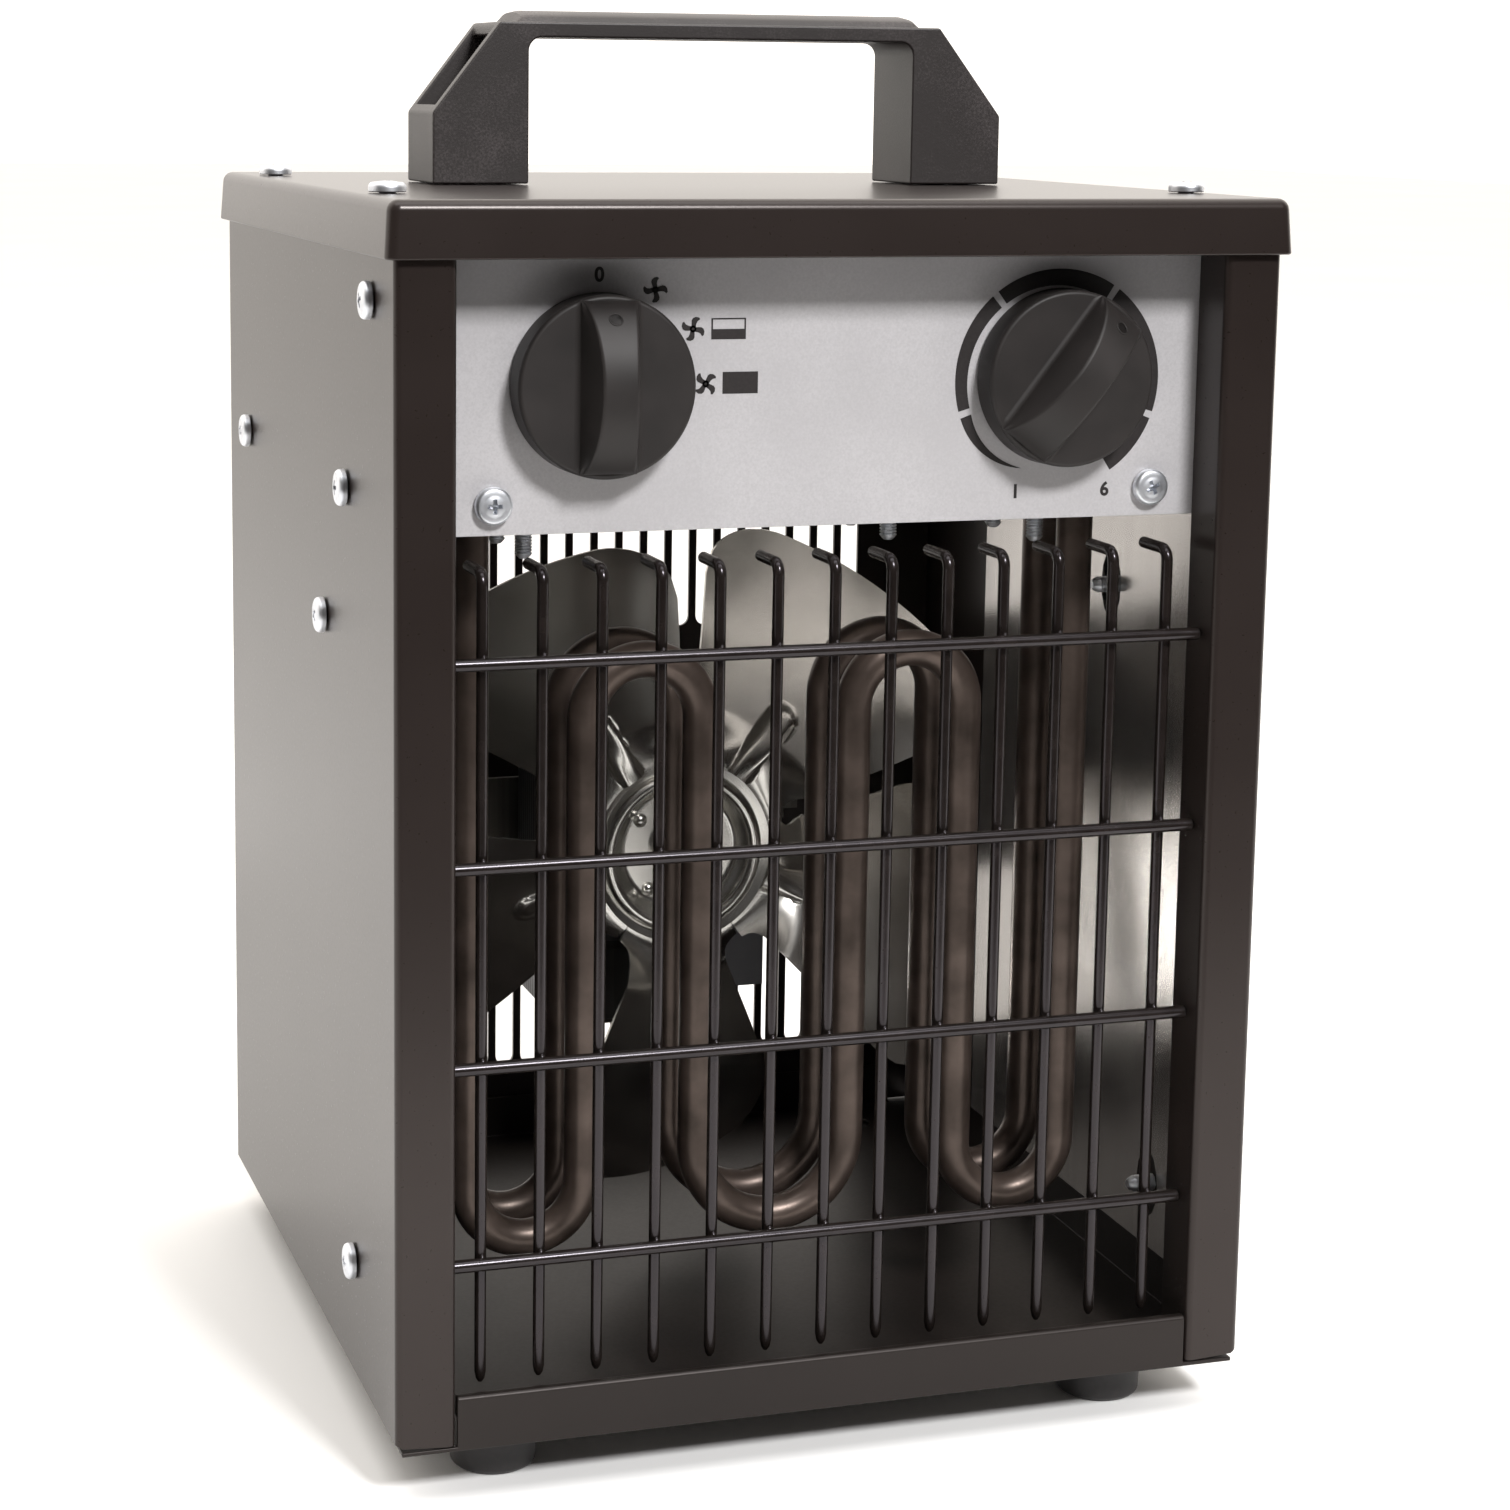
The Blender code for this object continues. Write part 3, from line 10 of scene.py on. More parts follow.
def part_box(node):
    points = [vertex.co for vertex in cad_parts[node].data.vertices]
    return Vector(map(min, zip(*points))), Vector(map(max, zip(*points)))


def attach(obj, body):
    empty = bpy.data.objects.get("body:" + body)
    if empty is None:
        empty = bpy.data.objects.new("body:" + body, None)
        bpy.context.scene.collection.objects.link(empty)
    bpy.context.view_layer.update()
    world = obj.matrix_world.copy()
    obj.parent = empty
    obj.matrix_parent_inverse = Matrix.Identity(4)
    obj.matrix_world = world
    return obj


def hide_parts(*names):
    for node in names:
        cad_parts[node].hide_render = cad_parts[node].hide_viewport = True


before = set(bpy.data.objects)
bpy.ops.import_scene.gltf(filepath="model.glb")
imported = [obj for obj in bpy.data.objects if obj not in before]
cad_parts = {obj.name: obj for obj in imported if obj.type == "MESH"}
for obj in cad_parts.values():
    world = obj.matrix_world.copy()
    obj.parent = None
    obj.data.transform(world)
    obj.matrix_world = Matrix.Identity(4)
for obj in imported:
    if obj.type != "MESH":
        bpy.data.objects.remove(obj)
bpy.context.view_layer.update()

MM = 0.001

# Lengths are in millimetres. x runs to the right, y from the casing's front plane to the
# rear, z up from the casing's lower edge, and ORIGIN is that corner in the frame's metres.
CASING_LOW, CASING_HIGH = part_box("side_panel_left")
ORIGIN = Vector((0.0, CASING_LOW.y, CASING_LOW.z))


def corner(node):
    """Lowest and highest corner of a node in the millimetres of this file."""
    return [(point - ORIGIN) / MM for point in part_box(node)]


# Casing
SHEET = 1.0
BEND = 1.6
BODY_D = (CASING_HIGH.y - CASING_LOW.y) / MM
HALF_W = -CASING_LOW.x / MM
WALL_TOP = (CASING_HIGH.z - CASING_LOW.z) / MM
PILLAR_W = 13.25
PILLAR_DEPTH = 13.0
REAR_FLANGE = 12.0
CLIP_RISE = 1.8 * math.sqrt(0.5)
CLIP_REACH = 3.2
LID_LOW, LID_HIGH = corner("top_cover")
LID_FLARE = 0.8
LID_CORNER = 2.6
LID_EDGE = 2.3
LID_HEM = 0.45
REAR_LOW, REAR_HIGH = corner("rear_panel")
SLOT_PITCH = 7.13
SLOT_W = 5.07
SLOT_COUNT = 22
SLOT_ROWS = ((20.0, 68.0), (142.5, 190.5))

# Controls
PANEL_Y = corner("control_panel")[0].y
KNOB_X = 53.0
KNOB_Z = 228.0
KNOB_R = 19.6
KNOB_BACK = PANEL_Y - 0.6
KNOB_DISC = 7.5
KNOB_CREST = 10.0
KNOB_MARK = 0.80
GRIP_BASE = 6.2
GRIP_CREST = 4.0
GRIP_REACH = 18.3
DIAL_REST = 38.0

# Handle
HANDLE_LOW, HANDLE_HIGH = corner("carry_handle")
HANDLE_HALF = HANDLE_HIGH.x
HANDLE_LEG = 23.0
HANDLE_SHOULDER = 284.2
HANDLE_TOP = 305.1
HANDLE_TOP_HALF = 54.7
HANDLE_UNDER = 301.6
HANDLE_WALL = 3.5
HANDLE_FILLET = 3.2

# Guard
GUARD_LOW, GUARD_HIGH = corner("wire_guard")
GUARD_WIRE_R = 1.45
GUARD_BAR_R = 1.3
GUARD_ROWS = [38.0 + 44.0 * k for k in range(4)]
GUARD_BARS = [13.2 * k for k in range(-6, 7)]
GUARD_WIRE_Y = 6.5
GUARD_BAR_Y = 9.0
GUARD_BEND = 2.6

# Elements
TUBE_R = 4.25
TUBE_LEGS = (-73.0, -46.0, -18.5, 18.5, 46.0, 73.0)
TUBE_LOW = 28.2
TUBE_HIGH = 162.4
TUBE_TOP = 206.6
PIN_R = 1.5
PIN_TOP = 16.0

# Fan
FAN = Vector((0.0, 115.0, 99.0))
FAN_R = 84.0
FAN_BLADES = 5
FAN_SHEET = 1.2
FAN_SPAN = 35.7
FAN_PITCH = -0.64
FAN_EASE = 1.5e-5
FAN_TWIST = 13.0
FAN_LEAN = 0.0033
FAN_LEAN_R = 50.0
FAN_TIP_ROUND = 15.0
FAN_RIB_R = 42.0
FAN_RIB_HALF = 3.4
FAN_RIB_H = 1.6
FAN_FIRST = 37.7
FAN_WEB_R = 24.0
FAN_SLIT_R = 27.5
FAN_SLIT_HALF = 4.6
FAN_RING_R = 19.3
FAN_DISH = 4.0
FAN_BORE = 8.0
HUB_R = 7.0
HUB_BORE = 3.3
HUB_FLANGE = 14.0
HUB_DEEP = 12.0
RIVET_R = 12.8
RIVETS = 4

# Screws
SCREW_R = 2.0
SCREW_HEAD_R = 4.1
SCREW_HEAD_H = 2.4
SCREW_THREAD = 0.7
SCREW_SHORT = 9.0
SCREW_LONG = 12.0
RECESS_LONG = 1.85
RECESS_WIDE = 0.5
RECESS_DEEP = 1.7


# Making meshes

def arc(centre, radius, start, end, steps):
    """Points on an arc from one angle to another, in degrees."""
    points = []
    for k in range(steps + 1):
        a = math.radians(start + (end - start) * k / steps)
        points.append((centre[0] + radius * math.cos(a), centre[1] + radius * math.sin(a)))
    return points


def step(t):
    """Smooth rise from 0 to 1."""
    t = min(max(t, 0.0), 1.0)
    return t * t * (3.0 - 2.0 * t)


def block(low, high):
    """A box from its lowest to its highest corner."""
    bm = bmesh.new()
    bmesh.ops.create_cube(bm, size=1.0)
    size = Vector(high) - Vector(low)
    bmesh.ops.scale(bm, verts=bm.verts, vec=size)
    bmesh.ops.translate(bm, verts=bm.verts, vec=(Vector(low) + Vector(high)) / 2.0)
    return bm


def lathe(profile, steps=48):
    """Spins a profile of (radius, height) points once round z."""
    bm = bmesh.new()
    verts = [bm.verts.new((r, 0.0, h)) for r, h in profile]
    edges = [bm.edges.new(pair) for pair in zip(verts[:-1], verts[1:])]
    bmesh.ops.spin(bm, geom=verts + edges, cent=(0, 0, 0), axis=(0, 0, 1), angle=2.0 * math.pi,
                   steps=steps, use_merge=True, use_duplicate=False)
    bmesh.ops.remove_doubles(bm, verts=bm.verts, dist=0.001)
    bmesh.ops.recalc_face_normals(bm, faces=bm.faces)
    return bm


def extruded(outline, way, depth):
    """A flat outline, drawn as points in space, made into a solid."""
    bm = bmesh.new()
    face = bm.faces.new([bm.verts.new(p) for p in outline])
    made = bmesh.ops.extrude_face_region(bm, geom=[face])
    verts = [g for g in made["geom"] if isinstance(g, bmesh.types.BMVert)]
    bmesh.ops.translate(bm, verts=verts, vec=Vector(way) * depth)
    bmesh.ops.recalc_face_normals(bm, faces=bm.faces)
    return bm


def aimed(bm, way, centre):
    """Turns a shape drawn up z so that z points along way, then moves it to centre."""
    turn = Vector((0, 0, 1)).rotation_difference(Vector(way)).to_matrix()
    bmesh.ops.rotate(bm, verts=bm.verts, cent=(0, 0, 0), matrix=turn)
    bmesh.ops.translate(bm, verts=bm.verts, vec=centre)
    return bm


def joined(shapes):
    """Puts several shapes into one mesh."""
    whole = shapes[0]
    for shape in shapes[1:]:
        mesh = bpy.data.meshes.new("work")
        shape.to_mesh(mesh)
        shape.free()
        whole.from_mesh(mesh)
        bpy.data.meshes.remove(mesh)
    return whole


def bevelled(bm, edges, radius, segments, clamp=True):
    """Rounds the given edges."""
    bmesh.ops.bevel(bm, geom=edges, offset=radius, offset_type="OFFSET", segments=segments, profile=0.5,
                    affect="EDGES", clamp_overlap=clamp, material=-1)


def rounded(bm, radius, segments, least):
    """Bevels the edges that turn by more than the angle least, in degrees."""
    edges = [e for e in bm.edges if len(e.link_faces) == 2 and e.calc_face_angle() > math.radians(least)]
    bevelled(bm, edges, radius, segments)
    return bm


def walled(bm, floor):
    """Drops a wall from the open rim of a shape to the height floor, and closes it below."""
    rim = [e for e in bm.edges if len(e.link_faces) == 1]
    made = bmesh.ops.extrude_edge_only(bm, edges=rim)
    low = [g for g in made["geom"] if isinstance(g, bmesh.types.BMVert)]
    for vert in low:
        vert.co.z = floor
    loop = [e for e in bm.edges if e.verts[0] in low and e.verts[1] in low]
    bmesh.ops.contextual_create(bm, geom=low + loop)
    bmesh.ops.recalc_face_normals(bm, faces=bm.faces)
    return bm


def cut(base, tool):
    """The base with the tool's volume taken away."""
    objects = []
    for bm in (base, tool):
        bmesh.ops.recalc_face_normals(bm, faces=bm.faces)
        mesh = bpy.data.meshes.new("work")
        bm.to_mesh(mesh)
        bm.free()
        obj = bpy.data.objects.new("work", mesh)
        bpy.context.scene.collection.objects.link(obj)
        objects.append(obj)
    away = objects[0].modifiers.new("Boolean", "BOOLEAN")
    away.operation = "DIFFERENCE"
    away.solver = "EXACT"
    away.object = objects[1]
    graph = bpy.context.evaluated_depsgraph_get()
    mesh = bpy.data.meshes.new_from_object(objects[0].evaluated_get(graph))
    result = bmesh.new()
    result.from_mesh(mesh)
    for old in objects:
        data = old.data
        bpy.data.objects.remove(old, do_unlink=True)
        bpy.data.meshes.remove(data)
    bpy.data.meshes.remove(mesh)
    bmesh.ops.remove_doubles(result, verts=result.verts, dist=0.001)
    return result


def from_curve(curve):
    """The mesh of a curve or a text, which is then thrown away."""
    obj = bpy.data.objects.new("work", curve)
    bpy.context.scene.collection.objects.link(obj)
    graph = bpy.context.evaluated_depsgraph_get()
    mesh = bpy.data.meshes.new_from_object(obj.evaluated_get(graph))
    bm = bmesh.new()
    bm.from_mesh(mesh)
    bpy.data.objects.remove(obj, do_unlink=True)
    bpy.data.curves.remove(curve)
    bpy.data.meshes.remove(mesh)
    bmesh.ops.remove_doubles(bm, verts=bm.verts, dist=0.001)
    return bm


def pipe(points, radius, radii=None, sides=4):
    """A round wire along points; radii are shares of radius at each point."""
    curve = bpy.data.curves.new("work", "CURVE")
    curve.dimensions = "3D"
    curve.bevel_depth = radius
    curve.bevel_resolution = sides
    curve.use_fill_caps = True
    spline = curve.splines.new("POLY")
    spline.points.add(len(points) - 1)
    for k, point in enumerate(points):
        spline.points[k].co = (point[0], point[1], point[2], 1.0)
        spline.points[k].radius = 1.0 if radii is None else radii[k]
    bm = from_curve(curve)
    bmesh.ops.recalc_face_normals(bm, faces=bm.faces)
    return bm


def mirrored(bm):
    """The same shape for the other side, left or right."""
    bmesh.ops.scale(bm, verts=bm.verts, vec=(-1.0, 1.0, 1.0))
    bmesh.ops.recalc_face_normals(bm, faces=bm.faces)
    return bm


def eased(node, radius, segments=2, least=40.0):
    """A copy of a node's mesh with its triangles merged and its edges eased."""
    bm = bmesh.new()
    bm.from_mesh(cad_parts[node].data)
    bmesh.ops.translate(bm, verts=bm.verts, vec=-ORIGIN)
    bmesh.ops.scale(bm, verts=bm.verts, vec=(1.0 / MM,) * 3)
    bmesh.ops.remove_doubles(bm, verts=bm.verts, dist=0.002)
    bmesh.ops.dissolve_limit(bm, angle_limit=math.radians(0.5), verts=bm.verts, edges=bm.edges)
    return rounded(bm, radius, segments, least)


def publish(name, bm, body, material, replaces=(), sharp=35.0):
    """Turns a shape into a finished piece that rides on a body."""
    bmesh.ops.scale(bm, verts=bm.verts, vec=(MM,) * 3)
    bmesh.ops.translate(bm, verts=bm.verts, vec=ORIGIN)
    mesh = bpy.data.meshes.new(name)
    bm.to_mesh(mesh)
    bm.free()
    mesh.shade_smooth()
    mesh.set_sharp_from_angle(angle=math.radians(sharp))
    mesh.materials.append(material)
    obj = bpy.data.objects.new(name, mesh)
    bpy.context.scene.collection.objects.link(obj)
    even = obj.modifiers.new("Even shading", "WEIGHTED_NORMAL")
    even.keep_sharp = True
    graph = bpy.context.evaluated_depsgraph_get()
    obj.data = bpy.data.meshes.new_from_object(obj.evaluated_get(graph))
    obj.modifiers.remove(even)
    bpy.data.meshes.remove(mesh)
    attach(obj, body)
    if replaces:
        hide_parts(*replaces)
    return obj


# Finishes

def colour(code):
    """An sRGB hex colour as linear red, green, blue and alpha."""
    parts = [int(code[k:k + 2], 16) / 255.0 for k in (1, 3, 5)]
    linear = [p / 12.92 if p <= 0.04045 else ((p + 0.055) / 1.055) ** 2.4 for p in parts]
    return (*linear, 1.0)


def per(size):
    """Texture scale whose features measure size, in millimetres."""
    return 1.0 / (size * MM)


def add(tree, kind, inputs, stops=(), **settings):
    """Adds a node with its settings, colour stops, values and links."""
    made = tree.nodes.new("ShaderNode" + kind)
    for key, value in settings.items():
        setattr(made, key, value)
    for key, value in inputs.items():
        if isinstance(value, bpy.types.NodeSocket):
            tree.links.new(value, made.inputs[key])
        else:
            made.inputs[key].default_value = value
    for k, (place, code) in enumerate(stops):
        mark = made.color_ramp.elements[k] if k < 2 else made.color_ramp.elements.new(place)
        mark.position = place
        mark.color = colour(code)
    return made


def finish(name, **constants):
    """A new material, its node tree and its Object coordinates."""
    made = bpy.data.materials.new(name)
    made.use_nodes = True
    tree = made.node_tree
    shader = tree.nodes["Principled BSDF"]
    for key, value in constants.items():
        shader.inputs[key.replace("_", " ")].default_value = value
    return made, tree, add(tree, "TexCoord", {}).outputs["Object"]


def noise(tree, place, size, detail, roughness=0.5):
    """A cloudy pattern whose features measure size, in millimetres."""
    inputs = {"Vector": place, "Scale": per(size), "Detail": detail, "Roughness": roughness}
    return add(tree, "TexNoise", inputs).outputs["Fac"]


def bands(tree, place, size, uneven, way, profile):
    """Parallel bands, one for each size in millimetres."""
    inputs = {"Vector": place, "Scale": per(size) / 6.283, "Distortion": uneven}
    return add(tree, "TexWave", inputs, bands_direction=way, wave_profile=profile).outputs["Fac"]


def product(tree, one, other):
    return add(tree, "Math", {0: one, 1: other}, operation="MULTIPLY").outputs["Value"]


def shades(tree, pattern, dark, light):
    """Colour of a pattern; dark and light are (value of the pattern, colour)."""
    return add(tree, "ValToRGB", {"Fac": pattern}, stops=(dark, light)).outputs["Color"]


def spread(tree, pattern, least, most):
    return add(tree, "MapRange", {"Value": pattern, "To Min": least, "To Max": most}).outputs["Result"]


def bumps(tree, pattern, strength, height):
    """Relief of a pattern, its height in millimetres."""
    inputs = {"Height": pattern, "Strength": strength, "Distance": height * MM}
    return add(tree, "Bump", inputs).outputs["Normal"]


def wired(made, tint, gloss=None, skin=None):
    """The material, once its colour, roughness and bump are led to its shader."""
    shader = made.node_tree.nodes["Principled BSDF"]
    for result, socket in ((tint, "Base Color"), (gloss, "Roughness"), (skin, "Normal")):
        if result is not None:
            made.node_tree.links.new(result, shader.inputs[socket])
    return made


def powder_coat(name, dark, light, least, most):
    # Polyester powder coat, baked on sheet steel: satin black-brown with a fine orange peel and
    # a faint rosy cast in its reflections. The tray's copy is rougher, and its darker colour is painted
    # shade for the tray floor inside the casing.
    made, tree, place = finish(name, IOR=1.39, Specular_Tint=colour("#FFF6F3"))
    cloud = noise(tree, place, 45.0, 3.0)
    tint = shades(tree, cloud, (0.3, dark), (0.7, light))
    peel = noise(tree, place, 0.9, 2.0)
    gloss = spread(tree, peel, least, most)
    skin = bumps(tree, peel, 0.06, 0.05)
    return wired(made, tint, gloss, skin)


def handle_nylon():
    # Glass-filled nylon, moulded in a spark-eroded tool: dull black with a sandy grain and
    # pale rubbed specks on its faces.
    made, tree, place = finish("glass_filled_nylon", IOR=1.53)
    grain = noise(tree, place, 0.55, 4.0, 0.7)
    rubbed = noise(tree, place, 22.0, 2.0)
    speck = product(tree, grain, rubbed)
    tint = shades(tree, speck, (0.25, "#262120"), (0.42, "#423C3C"))
    gloss = spread(tree, grain, 0.38, 0.56)
    skin = bumps(tree, grain, 0.35, 0.08)
    return wired(made, tint, gloss, skin)


def knob_plastic():
    # Moulded ABS: black with a soft sheen and a grain that is only just felt.
    made, tree, place = finish("moulded_abs", IOR=1.42)
    grain = noise(tree, place, 0.4, 2.0)
    touched = noise(tree, place, 9.0, 3.0)
    tint = shades(tree, touched, (0.3, "#1F1C1B"), (0.7, "#272322"))
    gloss = spread(tree, touched, 0.48, 0.60)
    skin = bumps(tree, grain, 0.12, 0.03)
    return wired(made, tint, gloss, skin)


def silver_paint():
    # Aluminium-flake lacquer on steel: pale warm grey, satin, with a fine sparkle that is
    # drawn at 0.5 mm so that it shows.
    made, tree, place = finish("silver_lacquer", Metallic=0.25, IOR=1.5)
    flake = noise(tree, place, 0.5, 2.0)
    cloud = noise(tree, place, 30.0, 2.0)
    both = product(tree, flake, cloud)
    tint = shades(tree, both, (0.15, "#BDBBBD"), (0.4, "#C8C6C8"))
    gloss = spread(tree, flake, 0.38, 0.5)
    skin = bumps(tree, flake, 0.05, 0.03)
    return wired(made, tint, gloss, skin)


def panel_ink():
    # Screen-printed ink: flat black with slightly uneven cover.
    made, tree, place = finish("screen_ink", IOR=1.5, Roughness=0.5)
    cover = noise(tree, place, 0.8, 2.0)
    tint = shades(tree, cover, (0.3, "#1F1B1B"), (0.8, "#2A2525"))
    return wired(made, tint)


def zinc_plate():
    # Bright zinc plate on turned steel: a cool satin white with faint cloudy spots.
    made, tree, place = finish("bright_zinc_plate", Metallic=1.0)
    cloud = noise(tree, place, 2.5, 3.0)
    tint = shades(tree, cloud, (0.3, "#CDD0D6"), (0.7, "#E4E6EA"))
    gloss = spread(tree, cloud, 0.38, 0.50)
    return wired(made, tint, gloss)


def rolled_zinc_sheet(name, dark, light, least):
    # Smooth zinc-coated sheet steel: soft mirror, with faint rolling lines that run up the
    # sheet and cloudy smudges. The darker, rougher copy's grey is painted shade, for the sheets on the left
    # of the duct and behind the fan.
    made, tree, place = finish(name, Metallic=0.86)
    along = add(tree, "Mapping", {"Vector": place, "Scale": (1.0, 1.0, 0.02)})
    line = noise(tree, along.outputs["Vector"], 1.6, 3.0)
    cloud = noise(tree, place, 20.0, 2.0)
    both = product(tree, line, cloud)
    tint = shades(tree, both, (0.1, dark), (0.45, light))
    gloss = spread(tree, cloud, least, least + 0.12)
    return wired(made, tint, gloss)


def tube_steel():
    # Steel heater sheath after its first firing: brown-black oxide, satin, with drawn lines
    # along the tube and a few bright nicks.
    made, tree, place = finish("fired_tube_steel", Metallic=0.6)
    cloud = noise(tree, place, 12.0, 4.0)
    tint = shades(tree, cloud, (0.3, "#473D37"), (0.7, "#685B54"))
    drawn = add(tree, "Mapping", {"Vector": place, "Scale": (1.0, 1.0, 0.06)})
    line = noise(tree, drawn.outputs["Vector"], 0.5, 2.0)
    gloss = spread(tree, line, 0.26, 0.44)
    skin = bumps(tree, line, 0.15, 0.04)
    return wired(made, tint, gloss, skin)


def fan_aluminium():
    # Rolled aluminium sheet, pressed: a soft satin mirror, faintly dented, with smudges.
    made, tree, place = finish("rolled_aluminium", Metallic=1.0)
    smudge = noise(tree, place, 14.0, 4.0)
    dent = noise(tree, place, 11.0, 1.0)
    tint = shades(tree, smudge, (0.3, "#CFCDC8"), (0.7, "#E3E1DC"))
    gloss = spread(tree, smudge, 0.17, 0.29)
    skin = bumps(tree, dent, 0.3, 0.25)
    return wired(made, tint, gloss, skin)


def wire_enamel():
    # Dipped black enamel on drawn wire: deep gloss, a faint violet edge to its highlight.
    made, tree, place = finish("dipped_enamel", IOR=1.45, Specular_Tint=colour("#F6F0FA"))
    cloud = noise(tree, place, 5.0, 2.0)
    tint = shades(tree, cloud, (0.3, "#181412"), (0.7, "#201B19"))
    gloss = spread(tree, cloud, 0.18, 0.26)
    return wired(made, tint, gloss)


def core_stack():
    # Stacked electrical steel: the edges of 1 mm sheets, drawn twice their real thickness.
    made, tree, place = finish("electrical_steel_stack", Metallic=0.9)
    sheets = bands(tree, place, 1.0, 0.0, "Y", "SIN")
    tint = shades(tree, sheets, (0.2, "#4A4A4C"), (0.7, "#77777A"))
    stain = noise(tree, place, 8.0, 3.0)
    gloss = spread(tree, stain, 0.35, 0.55)
    skin = bumps(tree, sheets, 0.4, 0.1)
    return wired(made, tint, gloss, skin)


def coil_wrap():
    # Black polyester film tape wound over the coil: glossy, with a lap every 6 mm.
    made, tree, place = finish("polyester_tape", IOR=1.6, Roughness=0.35)
    laps = bands(tree, place, 6.0, 0.4, "X", "SAW")
    tint = shades(tree, laps, (0.1, "#1B1918"), (0.9, "#2A2725"))
    skin = bumps(tree, laps, 0.3, 0.1)
    return wired(made, tint, skin=skin)


def foot_rubber():
    # Moulded rubber: matt black with a dusty bloom.
    made, tree, place = finish("moulded_rubber", IOR=1.5, Sheen_Weight=0.15, Sheen_Roughness=0.5)
    dust = noise(tree, place, 1.2, 4.0)
    tint = shades(tree, dust, (0.35, "#1B1818"), (0.75, "#2A2626"))
    gloss = spread(tree, dust, 0.5, 0.75)
    skin = bumps(tree, dust, 0.15, 0.05)
    return wired(made, tint, gloss, skin)


def phenolic():
    # Wood-filled phenolic: dark brown with lighter fibres.
    made, tree, place = finish("phenolic_moulding", IOR=1.6)
    fibre = noise(tree, place, 1.5, 5.0, 0.7)
    tint = shades(tree, fibre, (0.35, "#2B1E17"), (0.8, "#5A4435"))
    gloss = spread(tree, fibre, 0.3, 0.5)
    return wired(made, tint, gloss)


def nylon():
    # Natural nylon 66: milky white, slightly waxy.
    made, tree, place = finish("natural_nylon", IOR=1.53, Subsurface_Weight=0.1)
    cloud = noise(tree, place, 4.0, 3.0)
    tint = shades(tree, cloud, (0.3, "#DAD7CD"), (0.7, "#E8E6DE"))
    gloss = spread(tree, cloud, 0.35, 0.5)
    return wired(made, tint, gloss)


COAT = powder_coat("polyester_powder_coat", "#231D1B", "#282220", 0.26, 0.31)
# The tray's coat is darker than the casing's: painted shade for the tray floor inside the casing.
SHADED_TRAY_COAT = powder_coat("painted_shade_powder_coat", "#15110F", "#1B1614", 0.36, 0.46)
HANDLE_NYLON = handle_nylon()
ABS = knob_plastic()
SILVER = silver_paint()
INK = panel_ink()
ZINC = zinc_plate()
BRIGHT_SHEET = rolled_zinc_sheet("bright_zinc_sheet", "#C9C5C2", "#DEDAD7", 0.17)
# The darker copy: its grey is painted shade on the left liner and the motor mount.
SHADED_SHEET = rolled_zinc_sheet("painted_shade_zinc_sheet", "#625F5C", "#7C7975", 0.34)
TUBE = tube_steel()
ALUMINIUM = fan_aluminium()
ENAMEL = wire_enamel()
CORE = core_stack()
TAPE = coil_wrap()
RUBBER = foot_rubber()
PHENOLIC = phenolic()
NYLON = nylon()

KEPT_NODES = {
    "compartment_floor": BRIGHT_SHEET,
    "element_clamp_left": BRIGHT_SHEET,
    "element_clamp_right": BRIGHT_SHEET,
    # Darker sheet here: painted shade on the left of the duct and behind the fan.
    "duct_liner_left": SHADED_SHEET,
    "duct_liner_right": BRIGHT_SHEET,
    "motor_mount": SHADED_SHEET,
    "rotary_switch": PHENOLIC,
    "thermostat": PHENOLIC,
    "thermal_cutout": PHENOLIC,
    "terminal_block": NYLON,
    "switch_spindle": ZINC,
    "thermostat_spindle": ZINC,
    "motor_rotor": ZINC,
    "motor_bridge_front": ZINC,
    "motor_bridge_rear": ZINC,
    "motor_stator": CORE,
    "motor_coil": TAPE,
}
for node, made in KEPT_NODES.items():
    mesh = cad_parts[node].data
    mesh.materials.clear()
    mesh.materials.append(made)


# Casing sheets

def side_panel():
    """The right wall with its pillar, return and rear flange, folded from one sheet.

    The pillar's outer lower corner is clipped a little.
    """
    inner = HALF_W - PILLAR_W
    plan = [(inner, PILLAR_DEPTH)]
    plan += arc((inner + BEND, BEND), BEND, 180.0, 270.0, 6)
    plan += arc((HALF_W - BEND, BEND), BEND, -90.0, 0.0, 6)
    plan += arc((HALF_W - BEND, BODY_D - BEND), BEND, 0.0, 90.0, 6)
    plan += [(HALF_W - REAR_FLANGE, BODY_D)]
    bm = bmesh.new()
    verts = [bm.verts.new((x, y, 0.0)) for x, y in plan]
    edges = [bm.edges.new(pair) for pair in zip(verts[:-1], verts[1:])]
    made = bmesh.ops.extrude_edge_only(bm, edges=edges)
    top = [g for g in made["geom"] if isinstance(g, bmesh.types.BMVert)]
    bmesh.ops.translate(bm, verts=top, vec=(0.0, 0.0, WALL_TOP))
    for vert in verts:
        near = step((vert.co.x - HALF_W + CLIP_REACH) / CLIP_REACH) * step((6.0 - vert.co.y) / 4.0)
        vert.co.z += CLIP_RISE * near
    bmesh.ops.recalc_face_normals(bm, faces=bm.faces)
    if bm.faces[0].normal.x > 0.0 and bm.faces[0].calc_center_median().x < HALF_W - 5.0:
        bmesh.ops.reverse_faces(bm, faces=bm.faces)
    bmesh.ops.solidify(bm, geom=bm.faces, thickness=SHEET)
    bmesh.ops.recalc_face_normals(bm, faces=bm.faces)
    return rounded(bm, 0.2, 2, 60.0)


